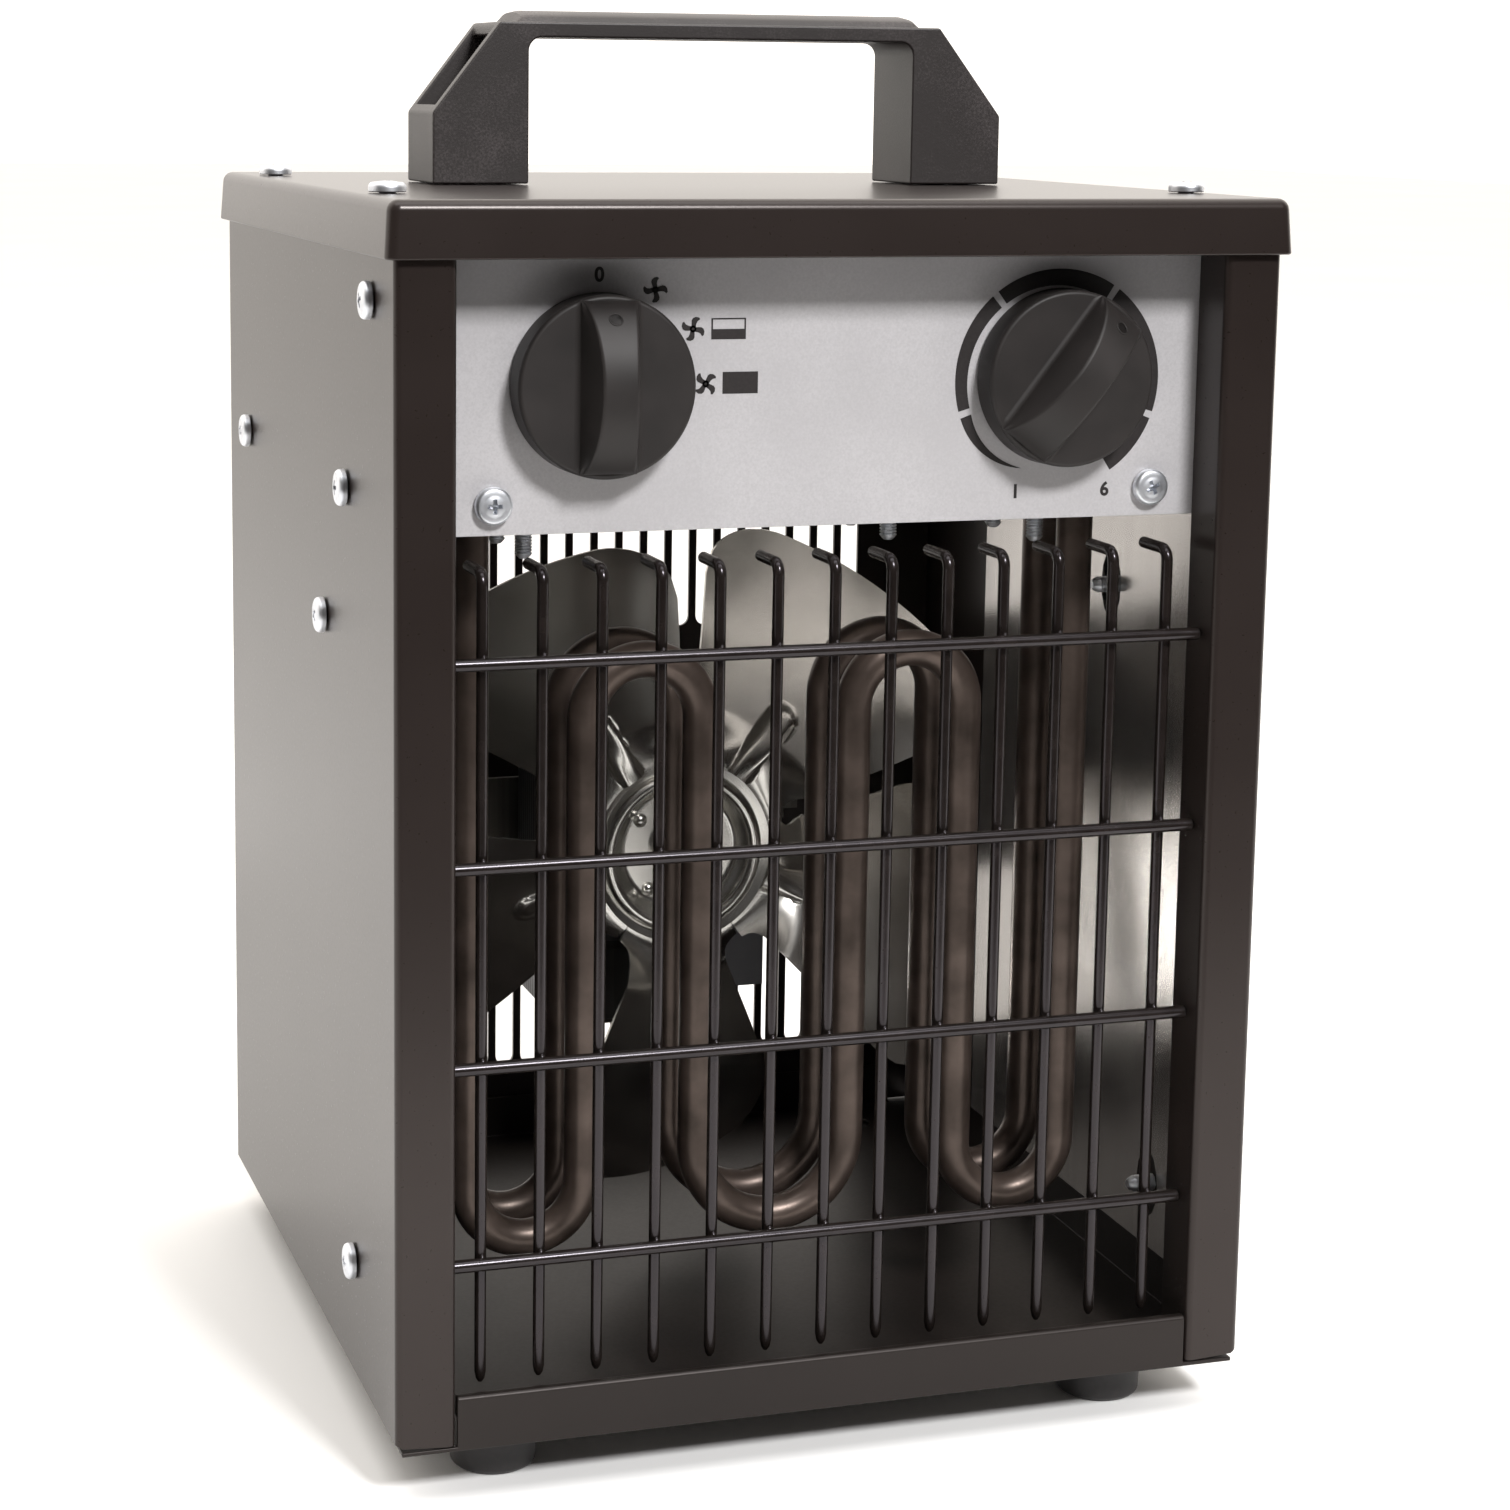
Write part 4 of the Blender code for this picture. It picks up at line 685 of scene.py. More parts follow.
def top_cover():
    """Lid pressed from one sheet: rounded edges all round and a skirt that leans out a little."""
    low = Vector((LID_LOW.x + LID_FLARE, LID_LOW.y + LID_FLARE, LID_LOW.z))
    high = Vector((LID_HIGH.x - LID_FLARE, LID_HIGH.y - LID_FLARE, LID_HIGH.z))
    bm = block(low, high)
    upright = [e for e in bm.edges if abs(e.verts[0].co.z - e.verts[1].co.z) > 1.0]
    bevelled(bm, upright, LID_CORNER, 5, clamp=False)
    rim = [e for e in bm.edges if min(v.co.z for v in e.verts) > high.z - 0.01]
    bevelled(bm, rim, LID_EDGE, 5, clamp=False)
    bottom = [f for f in bm.faces if f.normal.z < -0.9]
    bmesh.ops.delete(bm, geom=bottom, context="FACES")
    middle = (low + high) / 2.0
    deep = high.z - low.z
    for vert in bm.verts:
        lean = LID_FLARE * (high.z - vert.co.z) / deep
        vert.co.x += math.copysign(lean, vert.co.x - middle.x)
        vert.co.y += math.copysign(lean, vert.co.y - middle.y)
    bmesh.ops.recalc_face_normals(bm, faces=bm.faces)
    bmesh.ops.solidify(bm, geom=bm.faces, thickness=SHEET)
    bmesh.ops.recalc_face_normals(bm, faces=bm.faces)
    bottom_edges = [e for e in bm.edges if max(v.co.z for v in e.verts) < low.z + 0.3]
    bevelled(bm, [e for e in bottom_edges if e.calc_face_angle(0.0) > 0.8], LID_HEM, 3)
    return bm


def slot_cutter(x, low, high):
    """An upright slot that reaches through the rear sheet."""
    radius = SLOT_W / 2.0
    outline = arc((x, high - radius), radius, 0.0, 180.0, 10)
    outline += arc((x, low + radius), radius, 180.0, 360.0, 10)
    return extruded([(px, REAR_HIGH.y - 6.0, pz) for px, pz in outline], (0, 1, 0), 12.0)


def rear_panel():
    """Flat sheet with two rows of upright air slots, round at both ends."""
    face = REAR_HIGH.y
    plate = block((REAR_LOW.x, face - SHEET, REAR_LOW.z), (REAR_HIGH.x, face, REAR_HIGH.z))
    tools = []
    for low, high in SLOT_ROWS:
        for k in range(SLOT_COUNT):
            tools.append(slot_cutter((k - (SLOT_COUNT - 1) / 2.0) * SLOT_PITCH, low, high))
    return cut(plate, joined(tools))


for side, word in ((-1, "left"), (1, "right")):
    panel = side_panel()
    if side < 0:
        panel = mirrored(panel)
    publish("casing_side_" + word, panel, "casing", COAT, ["side_panel_" + word])
publish("lid", top_cover(), "casing", COAT, ["top_cover"])
publish("slotted_back", rear_panel(), "casing", COAT, ["rear_panel"])
# The tray wears the darker coat, whose colour is painted shade.
publish("tray", eased("base_tray", 0.3), "casing", SHADED_TRAY_COAT, ["base_tray"])
publish("front_plate", eased("control_panel", 0.3), "casing", SILVER, ["control_panel"])


# Feet

FOOT_R = 10.0
FOOT_H = 10.8
FOOT_ROUND = 1.4


def rubber_foot(centre):
    """Slightly tapered foot with a rounded toe."""
    toe = FOOT_R - 1.8
    profile = [(0.0, 0.0), (toe - 0.6, 0.0)] + arc((toe, FOOT_ROUND), FOOT_ROUND, -90.0, -10.0, 5)
    profile += [(FOOT_R, FOOT_H - 0.3), (FOOT_R - 0.3, FOOT_H), (0.0, FOOT_H)]
    return aimed(lathe(profile, 48), (0, 0, 1), centre)


for place in ("front_left", "front_right", "rear_left", "rear_right"):
    low, high = corner("foot_" + place)
    centre = ((low.x + high.x) / 2.0, (low.y + high.y) / 2.0, low.z)
    publish("rubber_" + place, rubber_foot(centre), "casing", RUBBER, ["foot_" + place])


# Screws

def cross_recess():
    """The tapered cross that a driver fits, drawn up z with its mouth at the origin."""
    arms = []
    for wide, long in ((RECESS_WIDE, RECESS_LONG), (RECESS_LONG, RECESS_WIDE)):
        arm = block((-wide, -long, -RECESS_DEEP), (wide, long, 0.6))
        for vert in arm.verts:
            if vert.co.z < -1.0:
                vert.co.x *= 0.62
                vert.co.y *= 0.62
        arms.append(arm)
    return arms


def screw(length):
    """Pan head with a cross recess, its underside at the origin, and a threaded shank below."""
    head = [(0.0, 0.0), (SCREW_HEAD_R - 0.2, 0.0), (SCREW_HEAD_R, 0.2)]
    head += arc((SCREW_HEAD_R - 1.15, 0.95), 1.15, 0.0, 72.0, 6)
    head += arc((0.0, SCREW_HEAD_H - 9.0), 9.0, 73.0, 90.0, 5)
    top = lathe(head, 40)
    for arm in cross_recess():
        bmesh.ops.translate(arm, verts=arm.verts, vec=(0.0, 0.0, SCREW_HEAD_H))
        top = cut(top, arm)
    shank = [(0.0, 0.05)]
    turns = int(length / SCREW_THREAD) - 1
    for k in range(turns):
        z = -k * SCREW_THREAD
        shank += [(SCREW_R - 0.42, z), (SCREW_R, z - SCREW_THREAD * 0.4), (SCREW_R, z - SCREW_THREAD * 0.5)]
    shank += [(SCREW_R - 0.5, -length + 0.5), (SCREW_R - 1.0, -length), (0.0, -length)]
    return joined([top, lathe(shank, 24)])


def screws(names, way, length):
    """Publishes a screw in the place of each named node; way is where the head points."""
    pattern = screw(length)
    for name in names:
        low, high = corner(name)
        centre = (low + high) / 2.0
        far = high if max(way) > 0 else low
        for axis in range(3):
            if way[axis]:
                centre[axis] = far[axis] - way[axis] * SCREW_HEAD_H
        turned = pattern.copy()
        spin = Matrix.Rotation(math.radians(cross_turn(name)), 3, "Z")
        bmesh.ops.rotate(turned, verts=turned.verts, cent=(0, 0, 0), matrix=spin)
        publish("cross_" + name, aimed(turned, way, centre), "casing", ZINC, [name])
    pattern.free()


def cross_turn(name):
    """A fixed turn for each screw's cross, so that no two stand alike."""
    return sum(ord(c) for c in name) * 37 % 90


def cornered(kind):
    """Names of the four nodes of a kind that stand at the front and rear, left and right."""
    return ["%s_%s_%s" % (kind, depth, side) for depth in ("front", "rear") for side in ("left", "right")]


screws(["side_screw_left_%d" % k for k in range(1, 6)], (-1, 0, 0), SCREW_SHORT)
screws(["side_screw_right_%d" % k for k in range(1, 6)], (1, 0, 0), SCREW_SHORT)
screws(cornered("lid_screw"), (0, 0, 1), SCREW_SHORT)
screws(["panel_screw_left", "panel_screw_right"], (0, -1, 0), SCREW_SHORT)
screws(["handle_screw_left", "handle_screw_right"], (0, 0, -1), SCREW_LONG)
screws(cornered("clamp_screw"), (0, 0, 1), SCREW_LONG)
screws(["cutout_screw_front", "cutout_screw_rear"], (0, 0, 1), SCREW_LONG)


# Carry handle

def carry_handle():
    """Moulded bar on two legs; a pocket is open along the slope at each end."""
    base = HANDLE_LOW.z
    front = HANDLE_LOW.y
    deep = HANDLE_HIGH.y - HANDLE_LOW.y
    inner = HANDLE_HALF - HANDLE_LEG
    outline = [(-HANDLE_HALF, base), (-HANDLE_HALF, HANDLE_SHOULDER), (-HANDLE_TOP_HALF, HANDLE_TOP),
               (HANDLE_TOP_HALF, HANDLE_TOP), (HANDLE_HALF, HANDLE_SHOULDER), (HANDLE_HALF, base),
               (inner, base)]
    turn_z = HANDLE_UNDER - HANDLE_FILLET
    outline += arc((inner - HANDLE_FILLET, turn_z), HANDLE_FILLET, 0.0, 90.0, 8)
    outline += arc((-inner + HANDLE_FILLET, turn_z), HANDLE_FILLET, 90.0, 180.0, 8)
    outline += [(-inner, base)]
    body = extruded([(x, front, z) for x, z in outline], (0, 1, 0), deep)
    for side in (-1, 1):
        near = inner + 3.2
        far = HANDLE_HALF - 1.5
        lip = HANDLE_TOP_HALF + 0.8
        pocket = [(far, HANDLE_SHOULDER - 0.5), (near, HANDLE_SHOULDER - 0.5), (near, HANDLE_TOP - 3.0),
                  (lip, HANDLE_TOP - 3.0), (lip, HANDLE_TOP + 9.0), (far, HANDLE_TOP + 9.0)]
        rim = [(side * x, front + HANDLE_WALL, z) for x, z in pocket]
        body = cut(body, extruded(rim, (0, 1, 0), deep - 2 * HANDLE_WALL))
    rounded(body, 0.7, 3, 35.0)
    crown = crown_of_handle(front, deep)
    return joined([body, crown])


def crown_of_handle(front, deep):
    """The arched grip on top of the bar, run out at both ends."""
    along = 60
    across = 20
    half = HANDLE_TOP_HALF - 4.0
    bm = bmesh.new()
    bmesh.ops.create_grid(bm, x_segments=along, y_segments=across, size=1.0)
    rise = HANDLE_HIGH.z - HANDLE_TOP
    for vert in bm.verts:
        u, v = vert.co.x, vert.co.y
        ends = step((1.0 - abs(u)) * half / 2.2)
        arch = math.sqrt(max(1.0 - abs(v) ** 2.4, 0.0))
        vert.co = Vector((u * half, front + deep / 2.0 + v * (deep / 2.0 - 1.5),
                          HANDLE_TOP - 0.4 + (rise + 0.4) * arch * ends))
    return walled(bm, HANDLE_TOP - 1.2)


publish("grip_bar", carry_handle(), "casing", HANDLE_NYLON, ["carry_handle"])


# Knobs

def grip_section(t):
    """Half of the grip's cross-section at t, from its fillet on the disc to the middle of its crest."""
    rise = max((1.0 - t * t) ** 0.7 if abs(t) < 0.999 else 0.0, 0.03)
    high = KNOB_CREST * rise
    fillet = min(1.3, 0.45 * high)
    soft = min(0.8, 0.35 * high)
    crest = GRIP_CREST + (1.0 - rise) * (GRIP_BASE - GRIP_CREST) * 0.9
    points = [(GRIP_BASE + fillet * (1.0 - math.sin(a)), fillet * (1.0 - math.cos(a)))
              for a in [math.pi / 2.0 * k / 5.0 for k in range(6)]]
    for k in (1, 2, 3):
        f = k / 4.0
        points.append((GRIP_BASE + (crest - GRIP_BASE) * f, fillet + (high - soft - fillet) * f))
    points += arc((crest - soft, high - soft), soft, 0.0, 90.0, 5)
    points += [((crest - soft) * f, high) for f in (0.66, 0.33, 0.0)]
    return points


def knob(x, turn):
    """Round disc with an arched grip; the pointer end of the grip is up at turn 0."""
    profile = [(0.0, 0.0), (KNOB_R - 0.3, 0.0), (KNOB_R, 0.3), (KNOB_R - 0.15, KNOB_DISC - 0.9)]
    profile += arc((KNOB_R - 1.1, KNOB_DISC - 0.9), 0.9, 0.0, 90.0, 5) + [(0.0, KNOB_DISC)]
    disc = lathe(profile, 96)
    half = grip_section(0.0)
    columns = 2 * len(half) - 2
    rows = 44
    grip = bmesh.new()
    bmesh.ops.create_grid(grip, x_segments=columns, y_segments=rows, size=1.0)
    sections = [grip_section(-math.cos(math.pi * j / rows)) for j in range(rows + 1)]
    for vert in grip.verts:
        i = round((vert.co.x + 1.0) / 2.0 * columns)
        j = round((vert.co.y + 1.0) / 2.0 * rows)
        mirror = i > columns // 2
        px, pz = sections[j][columns - i if mirror else i]
        along = -math.cos(math.pi * j / rows) * GRIP_REACH
        vert.co = Vector((px if mirror else -px, along, KNOB_DISC + pz))
    walled(grip, KNOB_DISC - 2.0)
    mark_h = KNOB_CREST * (1.0 - KNOB_MARK * KNOB_MARK) ** 0.7
    ring = lathe([(1.3, 0.0)] + arc((1.45, 0.0), 0.15, 180.0, 0.0, 6), 28)
    bmesh.ops.holes_fill(ring, edges=ring.edges)
    slope = 0.7 * KNOB_CREST * (1.0 - KNOB_MARK * KNOB_MARK) ** -0.3 * 2.0 * KNOB_MARK / GRIP_REACH
    aimed(ring, Vector((0.0, slope, 1.0)).normalized(), (0.0, KNOB_MARK * GRIP_REACH, KNOB_DISC + mark_h))
    whole = joined([disc, grip, ring])
    to_panel = Matrix(((1, 0, 0), (0, 0, -1), (0, 1, 0)))
    bmesh.ops.rotate(whole, verts=whole.verts, cent=(0, 0, 0), matrix=to_panel)
    spin = Matrix.Rotation(math.radians(turn), 3, "Y")
    bmesh.ops.rotate(whole, verts=whole.verts, cent=(0, 0, 0), matrix=spin)
    bmesh.ops.translate(whole, verts=whole.verts, vec=(x, KNOB_BACK, KNOB_Z))
    return whole


publish("switch_grip", knob(-KNOB_X, 0.0), "switch_dial", ABS, ["switch_knob"], 50.0)
publish("thermostat_grip", knob(KNOB_X, DIAL_REST), "thermostat_dial", ABS,
        ["thermostat_knob"], 50.0)


# Print on the control panel

INK_T = 0.06
NUMERAL_TALL = 3.0
NUMERALS = (("0", -52.9, 251.1), ("1", 43.6, 202.4), ("6", 65.2, 202.4))
ROTOR_SIGNS = ((-40.5, 247.9, 0.0), (-32.0, 239.5, 20.0), (-29.0, 227.7, 45.0))
HALF_HEAT = (-27.9, -20.1, 237.2, 241.75)
FULL_HEAT = (-25.2, -17.2, 225.5, 230.2)
BAND_R = 24.45
BAND_T = 2.7
BAND_START = -157.0
BAND_FULL = -109.0
BAND_MARKS = (BAND_START, -108.0, -39.0, 34.0, 110.0, 147.0)
BAND_GAP_HALF = 1.9
BAND_SWELL = 2.3
BAND_SPAN = 257.0


def printed(outline):
    """Flat ink on the panel from points (x, z)."""
    return extruded([(x, PANEL_Y + 0.02, z) for x, z in outline], (0, -1, 0), INK_T + 0.02)


def printed_box(x0, x1, z0, z1):
    """Ink in a box that spans x0 to x1 and z0 to z1."""
    return printed([(x0, z0), (x1, z0), (x1, z1), (x0, z1)])


def rotor_sign(x, z, turn):
    """Small four-bladed rotor: the sign for the fan."""
    blades = []
    swept = [(-0.40, 0.20), (-0.72, 0.95), (-0.95, 1.60), (-0.85, 2.15), (-0.30, 2.62), (0.45, 2.72),
             (0.78, 2.45), (0.38, 1.90), (0.30, 1.25), (0.48, 0.30)]
    for k in range(4):
        a = math.radians(turn + 90.0 * k)
        blades.append(printed([(x + wide * math.cos(a) + long * math.sin(a),
                                z - wide * math.sin(a) + long * math.cos(a)) for wide, long in swept]))
    return blades + [printed(arc((x, z), 0.75, 0.0, 342.0, 19))]


def half_heat_sign(x0, x1, z0, z1):
    """A box that is filled in its lower half."""
    fill = z0 + 2.2
    return [printed_box(x0, x1, z0, fill), printed_box(x0, x1, z1 - 0.3, z1),
            printed_box(x0, x0 + 0.35, fill - 0.1, z1 - 0.25),
            printed_box(x1 - 0.35, x1, fill - 0.1, z1 - 0.25)]


def band_thickness(angle):
    """It grows from nothing to its full width, and then slowly on towards the high end."""
    if angle < BAND_FULL:
        return BAND_T * (max(angle - BAND_START, 0.0) / (BAND_FULL - BAND_START)) ** 0.8
    return BAND_T + BAND_SWELL * (angle - BAND_FULL) / BAND_SPAN


def dial_band(start, end):
    """Part of the thermostat's scale: a band that swells clockwise."""
    steps = max(4, int((end - start) / 3.0))
    outside = []
    inside = []
    for k in range(steps + 1):
        angle = start + (end - start) * k / steps
        tail = max(-115.0 - angle, 0.0) / 42.0
        outer = BAND_R - 3.15 * tail ** 1.8
        thick = max(band_thickness(angle), 0.05)
        a = math.radians(angle)
        for radius, line in ((outer, outside), (outer - thick, inside)):
            line.append((KNOB_X + radius * math.sin(a), KNOB_Z - 0.7 + radius * math.cos(a)))
    return printed(outside + inside[::-1])


def numeral(text, x, z, tall):
    """One plain digit, standing on the panel."""
    curve = bpy.data.curves.new("work", "FONT")
    curve.body = text
    curve.align_x = "CENTER"
    curve.align_y = "CENTER"
    curve.size = tall * 1.42
    curve.offset = 0.13
    curve.extrude = INK_T / 2.0
    bm = from_curve(curve)
    upright = Matrix.Rotation(math.radians(90.0), 3, "X")
    bmesh.ops.rotate(bm, verts=bm.verts, cent=(0, 0, 0), matrix=upright)
    bmesh.ops.translate(bm, verts=bm.verts, vec=(x, PANEL_Y - INK_T / 2.0, z))
    return bm


ink = [numeral(digit, x, z, NUMERAL_TALL) for digit, x, z in NUMERALS]
for x, z, turn in ROTOR_SIGNS:
    ink += rotor_sign(x, z, turn)
ink += half_heat_sign(*HALF_HEAT) + [printed_box(*FULL_HEAT)]
last = len(BAND_MARKS) - 2
for k in range(last + 1):
    after = BAND_MARKS[k] + (BAND_GAP_HALF if k > 0 else 0.0)
    before = BAND_MARKS[k + 1] - (BAND_GAP_HALF if k < last else 0.0)
    ink.append(dial_band(after, before))
publish("panel_print", joined(ink), "casing", INK)


# Wire guard

def wire_guard():
    """Upright wires, bent back at the top, welded behind the cross wires with a bead at each joint."""
    parts = []
    low = GUARD_LOW.z
    bend_z = GUARD_HIGH.z - GUARD_BAR_R - GUARD_BEND
    for x in GUARD_BARS:
        path = [(x, GUARD_BAR_Y, low), (x, GUARD_BAR_Y, low + 0.8), (x, GUARD_BAR_Y, low + 2.4)]
        radii = [0.35, 0.75, 1.0]
        for y, z in arc((GUARD_BAR_Y + GUARD_BEND, bend_z), GUARD_BEND, 180.0, 90.0, 8):
            path.append((x, y, z))
            radii.append(1.0)
        path.append((x, GUARD_HIGH.y, GUARD_HIGH.z - GUARD_BAR_R))
        radii.append(1.0)
        parts.append(pipe(path, GUARD_BAR_R, radii, 5))
        for z in GUARD_ROWS:
            bead = bmesh.new()
            bmesh.ops.create_icosphere(bead, subdivisions=2, radius=1.0)
            bmesh.ops.scale(bead, verts=bead.verts, vec=(1.0, 0.9, 1.9))
            bmesh.ops.translate(bead, verts=bead.verts, vec=(x, GUARD_WIRE_Y + 0.95, z + 0.1))
            parts.append(bead)
    reach = GUARD_HIGH.x
    for z in GUARD_ROWS:
        ends = [(-reach, GUARD_WIRE_Y, z), (-reach + 0.3, GUARD_WIRE_Y, z), (reach - 0.3, GUARD_WIRE_Y, z),
                (reach, GUARD_WIRE_Y, z)]
        parts.append(pipe(ends, GUARD_WIRE_R, [0.8, 1.0, 1.0, 0.8], 8))
    return joined(parts)


publish("welded_guard", wire_guard(), "casing", ENAMEL, ["wire_guard"])


# Heating elements

def element_path(y):
    """Down, round and up three times, from the left leg's top to the right leg's."""
    path = [(TUBE_LEGS[0], y, TUBE_TOP)]
    for k in range(5):
        low = k % 2 == 0
        radius = (TUBE_LEGS[k + 1] - TUBE_LEGS[k]) / 2.0
        middle = (TUBE_LEGS[k + 1] + TUBE_LEGS[k]) / 2.0
        z = TUBE_LOW + radius if low else TUBE_HIGH - radius
        for px, pz in arc((middle, z), radius, 180.0, 360.0 if low else 0.0, 28):
            path.append((px, y, pz))
    return path + [(TUBE_LEGS[-1], y, TUBE_TOP)]


def heating_element(y):
    """The tube, with a bush and a terminal pin in each end."""
    parts = [pipe(element_path(y), TUBE_R, None, 10)]
    profile = [(0.0, -2.0), (3.2, -2.0), (3.2, 3.6), (2.8, 4.0), (PIN_R, 4.0), (PIN_R, PIN_TOP - 0.3),
               (PIN_R - 0.3, PIN_TOP), (0.0, PIN_TOP)]
    for side in (-1, 1):
        parts.append(aimed(lathe(profile, 24), (0, 0, 1), (side * TUBE_LEGS[-1], y, TUBE_TOP)))
    return joined(parts)


for word in ("front", "rear"):
    low, high = corner("heating_element_" + word)
    publish("tube_" + word, heating_element((low.y + high.y) / 2.0), "casing", TUBE,
            ["heating_element_" + word])


# Fan

def half_angle(r):
    """Half the angle that a blade spans at radius r, beside a slit with a round inner end."""
    if r <= FAN_SLIT_R:
        return math.radians(FAN_SPAN)
    round_end = FAN_SLIT_R + FAN_SLIT_HALF
    if r < round_end:
        gap = FAN_SLIT_HALF * math.sqrt(max(1.0 - ((round_end - r) / FAN_SLIT_HALF) ** 2, 0.0))
    else:
        gap = FAN_SLIT_HALF * r / round_end
    return math.radians(FAN_SPAN) - math.asin(gap / r)


def fan_blade(turn):
    """Pressed blade: pitched, easing a little at both edges, its tip leaning back, with one rib."""
    bm = bmesh.new()
    bmesh.ops.create_grid(bm, x_segments=60, y_segments=70, size=1.0)
    root = FAN_WEB_R - 0.6
    for vert in bm.verts:
        u = vert.co.x
        edge = max(abs(u) - 0.55, 0.0) / 0.45
        tip = FAN_R - FAN_TIP_ROUND * (1.0 - math.sqrt(max(1.0 - edge * edge, 0.0)))
        r = root + (tip - root) * ((vert.co.y + 1.0) / 2.0) ** 1.5
        a = u * half_angle(r)
        across = r * math.sin(a)
        y = (FAN_PITCH * across + FAN_EASE * across ** 3) * step((r - FAN_WEB_R) / FAN_TWIST)
        y += FAN_LEAN * max(r - FAN_LEAN_R, 0.0) ** 2
        past = max(FAN_WEB_R - 1.0 - r, 0.0, r - FAN_RIB_R)
        away = math.hypot(across, past) / FAN_RIB_HALF
        rib = FAN_RIB_H * (1.0 - away ** 4) if away < 1.0 else 0.0
        vert.co = Vector((r * math.sin(turn + a), y - rib - FAN_SHEET / 2.0, r * math.cos(turn + a)))
    bmesh.ops.recalc_face_normals(bm, faces=bm.faces)
    made = bmesh.ops.extrude_face_region(bm, geom=bm.faces[:])
    back = [g for g in made["geom"] if isinstance(g, bmesh.types.BMVert)]
    bmesh.ops.translate(bm, verts=back, vec=(0.0, FAN_SHEET, 0.0))
    bmesh.ops.recalc_face_normals(bm, faces=bm.faces)
    return bm


def fan_blades():
    """Wheel pressed from one sheet: a sunk dish, a proud ring round it, a web and five blades."""
    ring = FAN_RING_R
    half = FAN_SHEET / 2.0
    front = [(FAN_BORE, FAN_DISH - half), (ring - 5.4, FAN_DISH - half)]
    front += arc((ring - 5.0, FAN_DISH - half - 1.6), 1.6, 90.0, 20.0, 5)
    front += arc((ring, 0.2), 1.9, 165.0, 360.0, 16) + [(FAN_WEB_R, -half)]
    back = [(FAN_WEB_R, half), (ring + 2.0, half), (ring - 1.8, FAN_DISH), (ring - 4.0, FAN_DISH + half),
            (FAN_BORE, FAN_DISH + half), (FAN_BORE, FAN_DISH - half)]
    parts = [aimed(lathe(front + back, 90), (0, 1, 0), (0, 0, 0))]
    for k in range(FAN_BLADES):
        parts.append(fan_blade(math.radians(FAN_FIRST + 360.0 / FAN_BLADES * k)))
    whole = joined(parts)
    bmesh.ops.translate(whole, verts=whole.verts, vec=FAN)
    return whole


def fan_hub():
    """Turned boss with a flange behind the dish, held by round-headed rivets."""
    rear = FAN_DISH + 0.8
    profile = [(HUB_BORE, -1.0), (HUB_R - 1.1, -1.0)] + arc((HUB_R - 0.8, -0.2), 0.8, -90.0, 0.0, 4)
    profile += [(HUB_R, rear), (HUB_FLANGE, rear), (HUB_FLANGE, rear + 1.6), (HUB_R, rear + 1.6),
                (HUB_R, HUB_DEEP), (HUB_BORE, HUB_DEEP), (HUB_BORE, -1.0)]
    parts = [aimed(lathe(profile, 48), (0, 1, 0), (0, 0, 0))]
    seat = FAN_DISH - FAN_SHEET / 2.0 - 0.1
    rivet = [(0.0, seat + 2.0), (1.1, seat + 2.0), (1.1, seat), (1.8, seat)]
    rivet += arc((0.0, seat + 0.9), 2.0, -28.0, -90.0, 8)
    for k in range(RIVETS):
        a = math.radians(FAN_FIRST + 360.0 / RIVETS * k)
        place = (RIVET_R * math.sin(a), 0.0, RIVET_R * math.cos(a))
        parts.append(aimed(lathe(rivet, 24), (0, 1, 0), place))
    whole = joined(parts)
    bmesh.ops.translate(whole, verts=whole.verts, vec=FAN)
    return whole


publish("pressed_fan", fan_blades(), "fan", ALUMINIUM, ["fan_blades"], 50.0)
publish("riveted_hub", fan_hub(), "fan", ALUMINIUM, ["fan_hub"])


# Cable gland

GLAND_BORE = 4.0
GLAND_R = 11.0
STAND_OFF = 0.3


def cable_gland():
    """Snap-in bush: a collar on the rear sheet, three soft rings outside it and a mouth for the cord."""
    low, high = corner("cable_gland")
    sheet = REAR_HIGH.y + STAND_OFF
    inside = low.y - sheet
    outside = high.y - sheet
    profile = [(GLAND_BORE, inside), (7.2, inside), (7.6, inside + 2.0), (7.6, 0.0), (GLAND_R - 0.4, 0.0),
               (GLAND_R, 0.4), (GLAND_R, 2.0), (GLAND_R - 0.4, 2.4), (8.8, 3.0)]
    for k in range(3):
        z = 3.6 + 1.7 * k
        profile += [(8.4 - 0.4 * k, z), (8.4 - 0.4 * k, z + 0.8), (7.8 - 0.4 * k, z + 1.1)]
    profile += [(7.0, outside - 0.5), (6.4, outside), (GLAND_BORE + 0.4, outside),
                (GLAND_BORE, outside - 0.4), (GLAND_BORE, inside)]
    centre = ((low.x + high.x) / 2.0, sheet, (low.z + high.z) / 2.0)
    return aimed(lathe(profile, 48), (0, 1, 0), centre)


publish("gland", cable_gland(), "casing", ABS, ["cable_gland"])


# Studio: the board and the lights are in metres, the camera's place in millimetres

BOARD_HALF = 6.0
BOARD_FRONT = 0.44
CAMERA_PLACE = (-239.0, -622.5, 289.9)
CAMERA_YAW = math.radians(16.76)
CAMERA_PITCH = math.radians(8.77)
CAMERA_ROLL = math.radians(0.56)
CAMERA_LENS = 74.77
CAMERA_SHIFT = (0.0888, -0.1207)


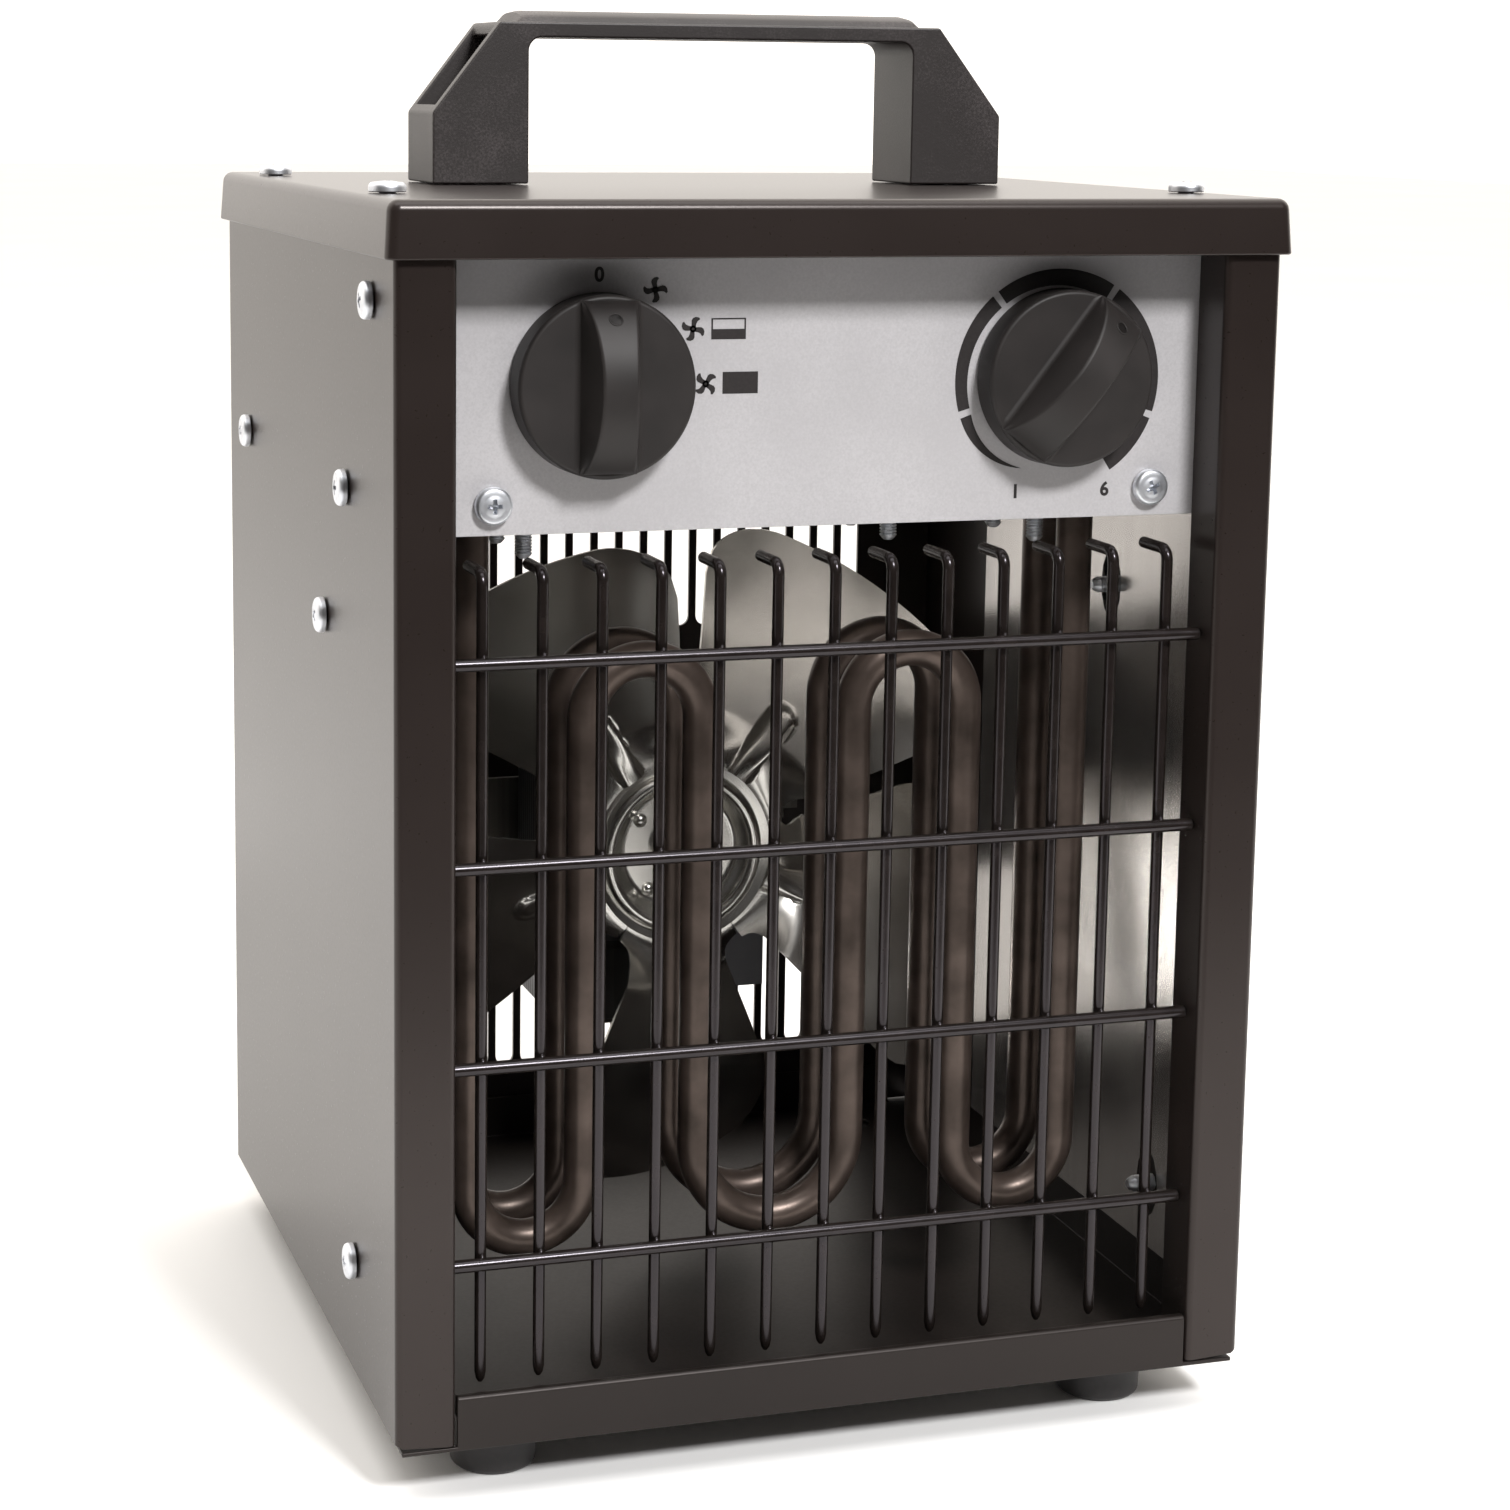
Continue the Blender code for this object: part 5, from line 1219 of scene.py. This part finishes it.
def studio_floor():
    # Painted studio board: matt, pale, with the faintest mottling. It ends between the heater
    # and the key light, so the heater's front mirrors the pale board only near its foot.
    made, tree, place = finish("studio_board", Roughness=0.7, IOR=1.45)
    cloud = add(tree, "TexNoise", {"Vector": place, "Scale": 3.0, "Detail": 2.0}).outputs["Fac"]
    tint = shades(tree, cloud, (0.3, "#F7F7F6"), (0.7, "#FAFAF9"))
    mesh = bpy.data.meshes.new("studio_floor")
    bm = bmesh.new()
    bmesh.ops.create_grid(bm, x_segments=24, y_segments=24, size=BOARD_HALF)
    bmesh.ops.translate(bm, verts=bm.verts, vec=(0.0, BOARD_HALF - BOARD_FRONT, 0.0))
    bm.to_mesh(mesh)
    bm.free()
    mesh.materials.append(wired(made, tint))
    obj = bpy.data.objects.new("studio_floor", mesh)
    bpy.context.scene.collection.objects.link(obj)


def studio_sky():
    """Bright behind the heater; in front dark at the horizon, rising to a soft grey overhead."""
    world = bpy.data.worlds.new("studio_sky")
    bpy.context.scene.world = world
    world.use_nodes = True
    tree = world.node_tree
    sky = tree.nodes["Background"]
    way = add(tree, "SeparateXYZ", {"Vector": add(tree, "TexCoord", {}).outputs["Generated"]})
    front = add(tree, "MapRange", {"Value": way.outputs["Z"], "From Min": 0.05, "From Max": 0.5,
                                   "To Min": 0.02, "To Max": 0.16}, interpolation_type="SMOOTHSTEP")
    level = add(tree, "MapRange", {"Value": way.outputs["Z"], "From Min": 0.2, "From Max": 0.6,
                                   "To Min": 1.65, "To Max": 2.3}, interpolation_type="SMOOTHSTEP")
    behind = add(tree, "MapRange", {"Value": way.outputs["Y"], "From Min": -0.25, "From Max": 0.35,
                                    "To Min": 0.0, "To Max": level.outputs["Result"]},
                 interpolation_type="SMOOTHSTEP")
    both = {0: front.outputs["Result"], 1: behind.outputs["Result"]}
    glow = add(tree, "Math", both, operation="MAXIMUM")
    sky.inputs["Color"].default_value = colour("#FFF9F2")
    tree.links.new(glow.outputs["Value"], sky.inputs["Strength"])


def soft_light(name, place, target, size, power, code):
    """A soft box of the given width and height, aimed at a point."""
    data = bpy.data.lights.new(name, "AREA")
    data.shape = "RECTANGLE"
    data.size, data.size_y = size
    data.energy = power
    data.color = colour(code)[:3]
    obj = bpy.data.objects.new(name, data)
    obj.location = place
    obj.rotation_mode = "QUATERNION"
    obj.rotation_quaternion = (Vector(target) - Vector(place)).to_track_quat("-Z", "Y")
    bpy.context.scene.collection.objects.link(obj)


def camera():
    """A long lens, turned 17 degrees to the right and 9 degrees down."""
    flat = math.cos(CAMERA_PITCH)
    ahead = Vector((math.sin(CAMERA_YAW) * flat, math.cos(CAMERA_YAW) * flat, -math.sin(CAMERA_PITCH)))
    right = Vector((math.cos(CAMERA_YAW), -math.sin(CAMERA_YAW), 0.0))
    up = right.cross(ahead)
    across = right * math.cos(CAMERA_ROLL) + up * math.sin(CAMERA_ROLL)
    over = up * math.cos(CAMERA_ROLL) - right * math.sin(CAMERA_ROLL)
    data = bpy.data.cameras.new("camera")
    data.sensor_width = 36.0
    data.lens = CAMERA_LENS
    data.shift_x, data.shift_y = CAMERA_SHIFT
    obj = bpy.data.objects.new("camera", data)
    turn = Matrix((across, over, -ahead)).transposed()
    obj.rotation_mode = "QUATERNION"
    obj.rotation_quaternion = turn.to_quaternion()
    obj.location = ORIGIN + Vector(CAMERA_PLACE) * MM
    bpy.context.scene.collection.objects.link(obj)
    bpy.context.scene.camera = obj


studio_floor()
studio_sky()
soft_light("key", (0.35, -1.6, 1.50), (0.0, 0.0, 0.20), (0.38, 0.38), 46.0, "#FFFEFE")
soft_light("overhead", (-0.05, -0.4, 1.9), (-0.05, -0.3, 0.0), (1.8, 0.9), 18.0, "#FFFFFF")
camera()
bpy.context.scene.view_settings.view_transform = "Standard"
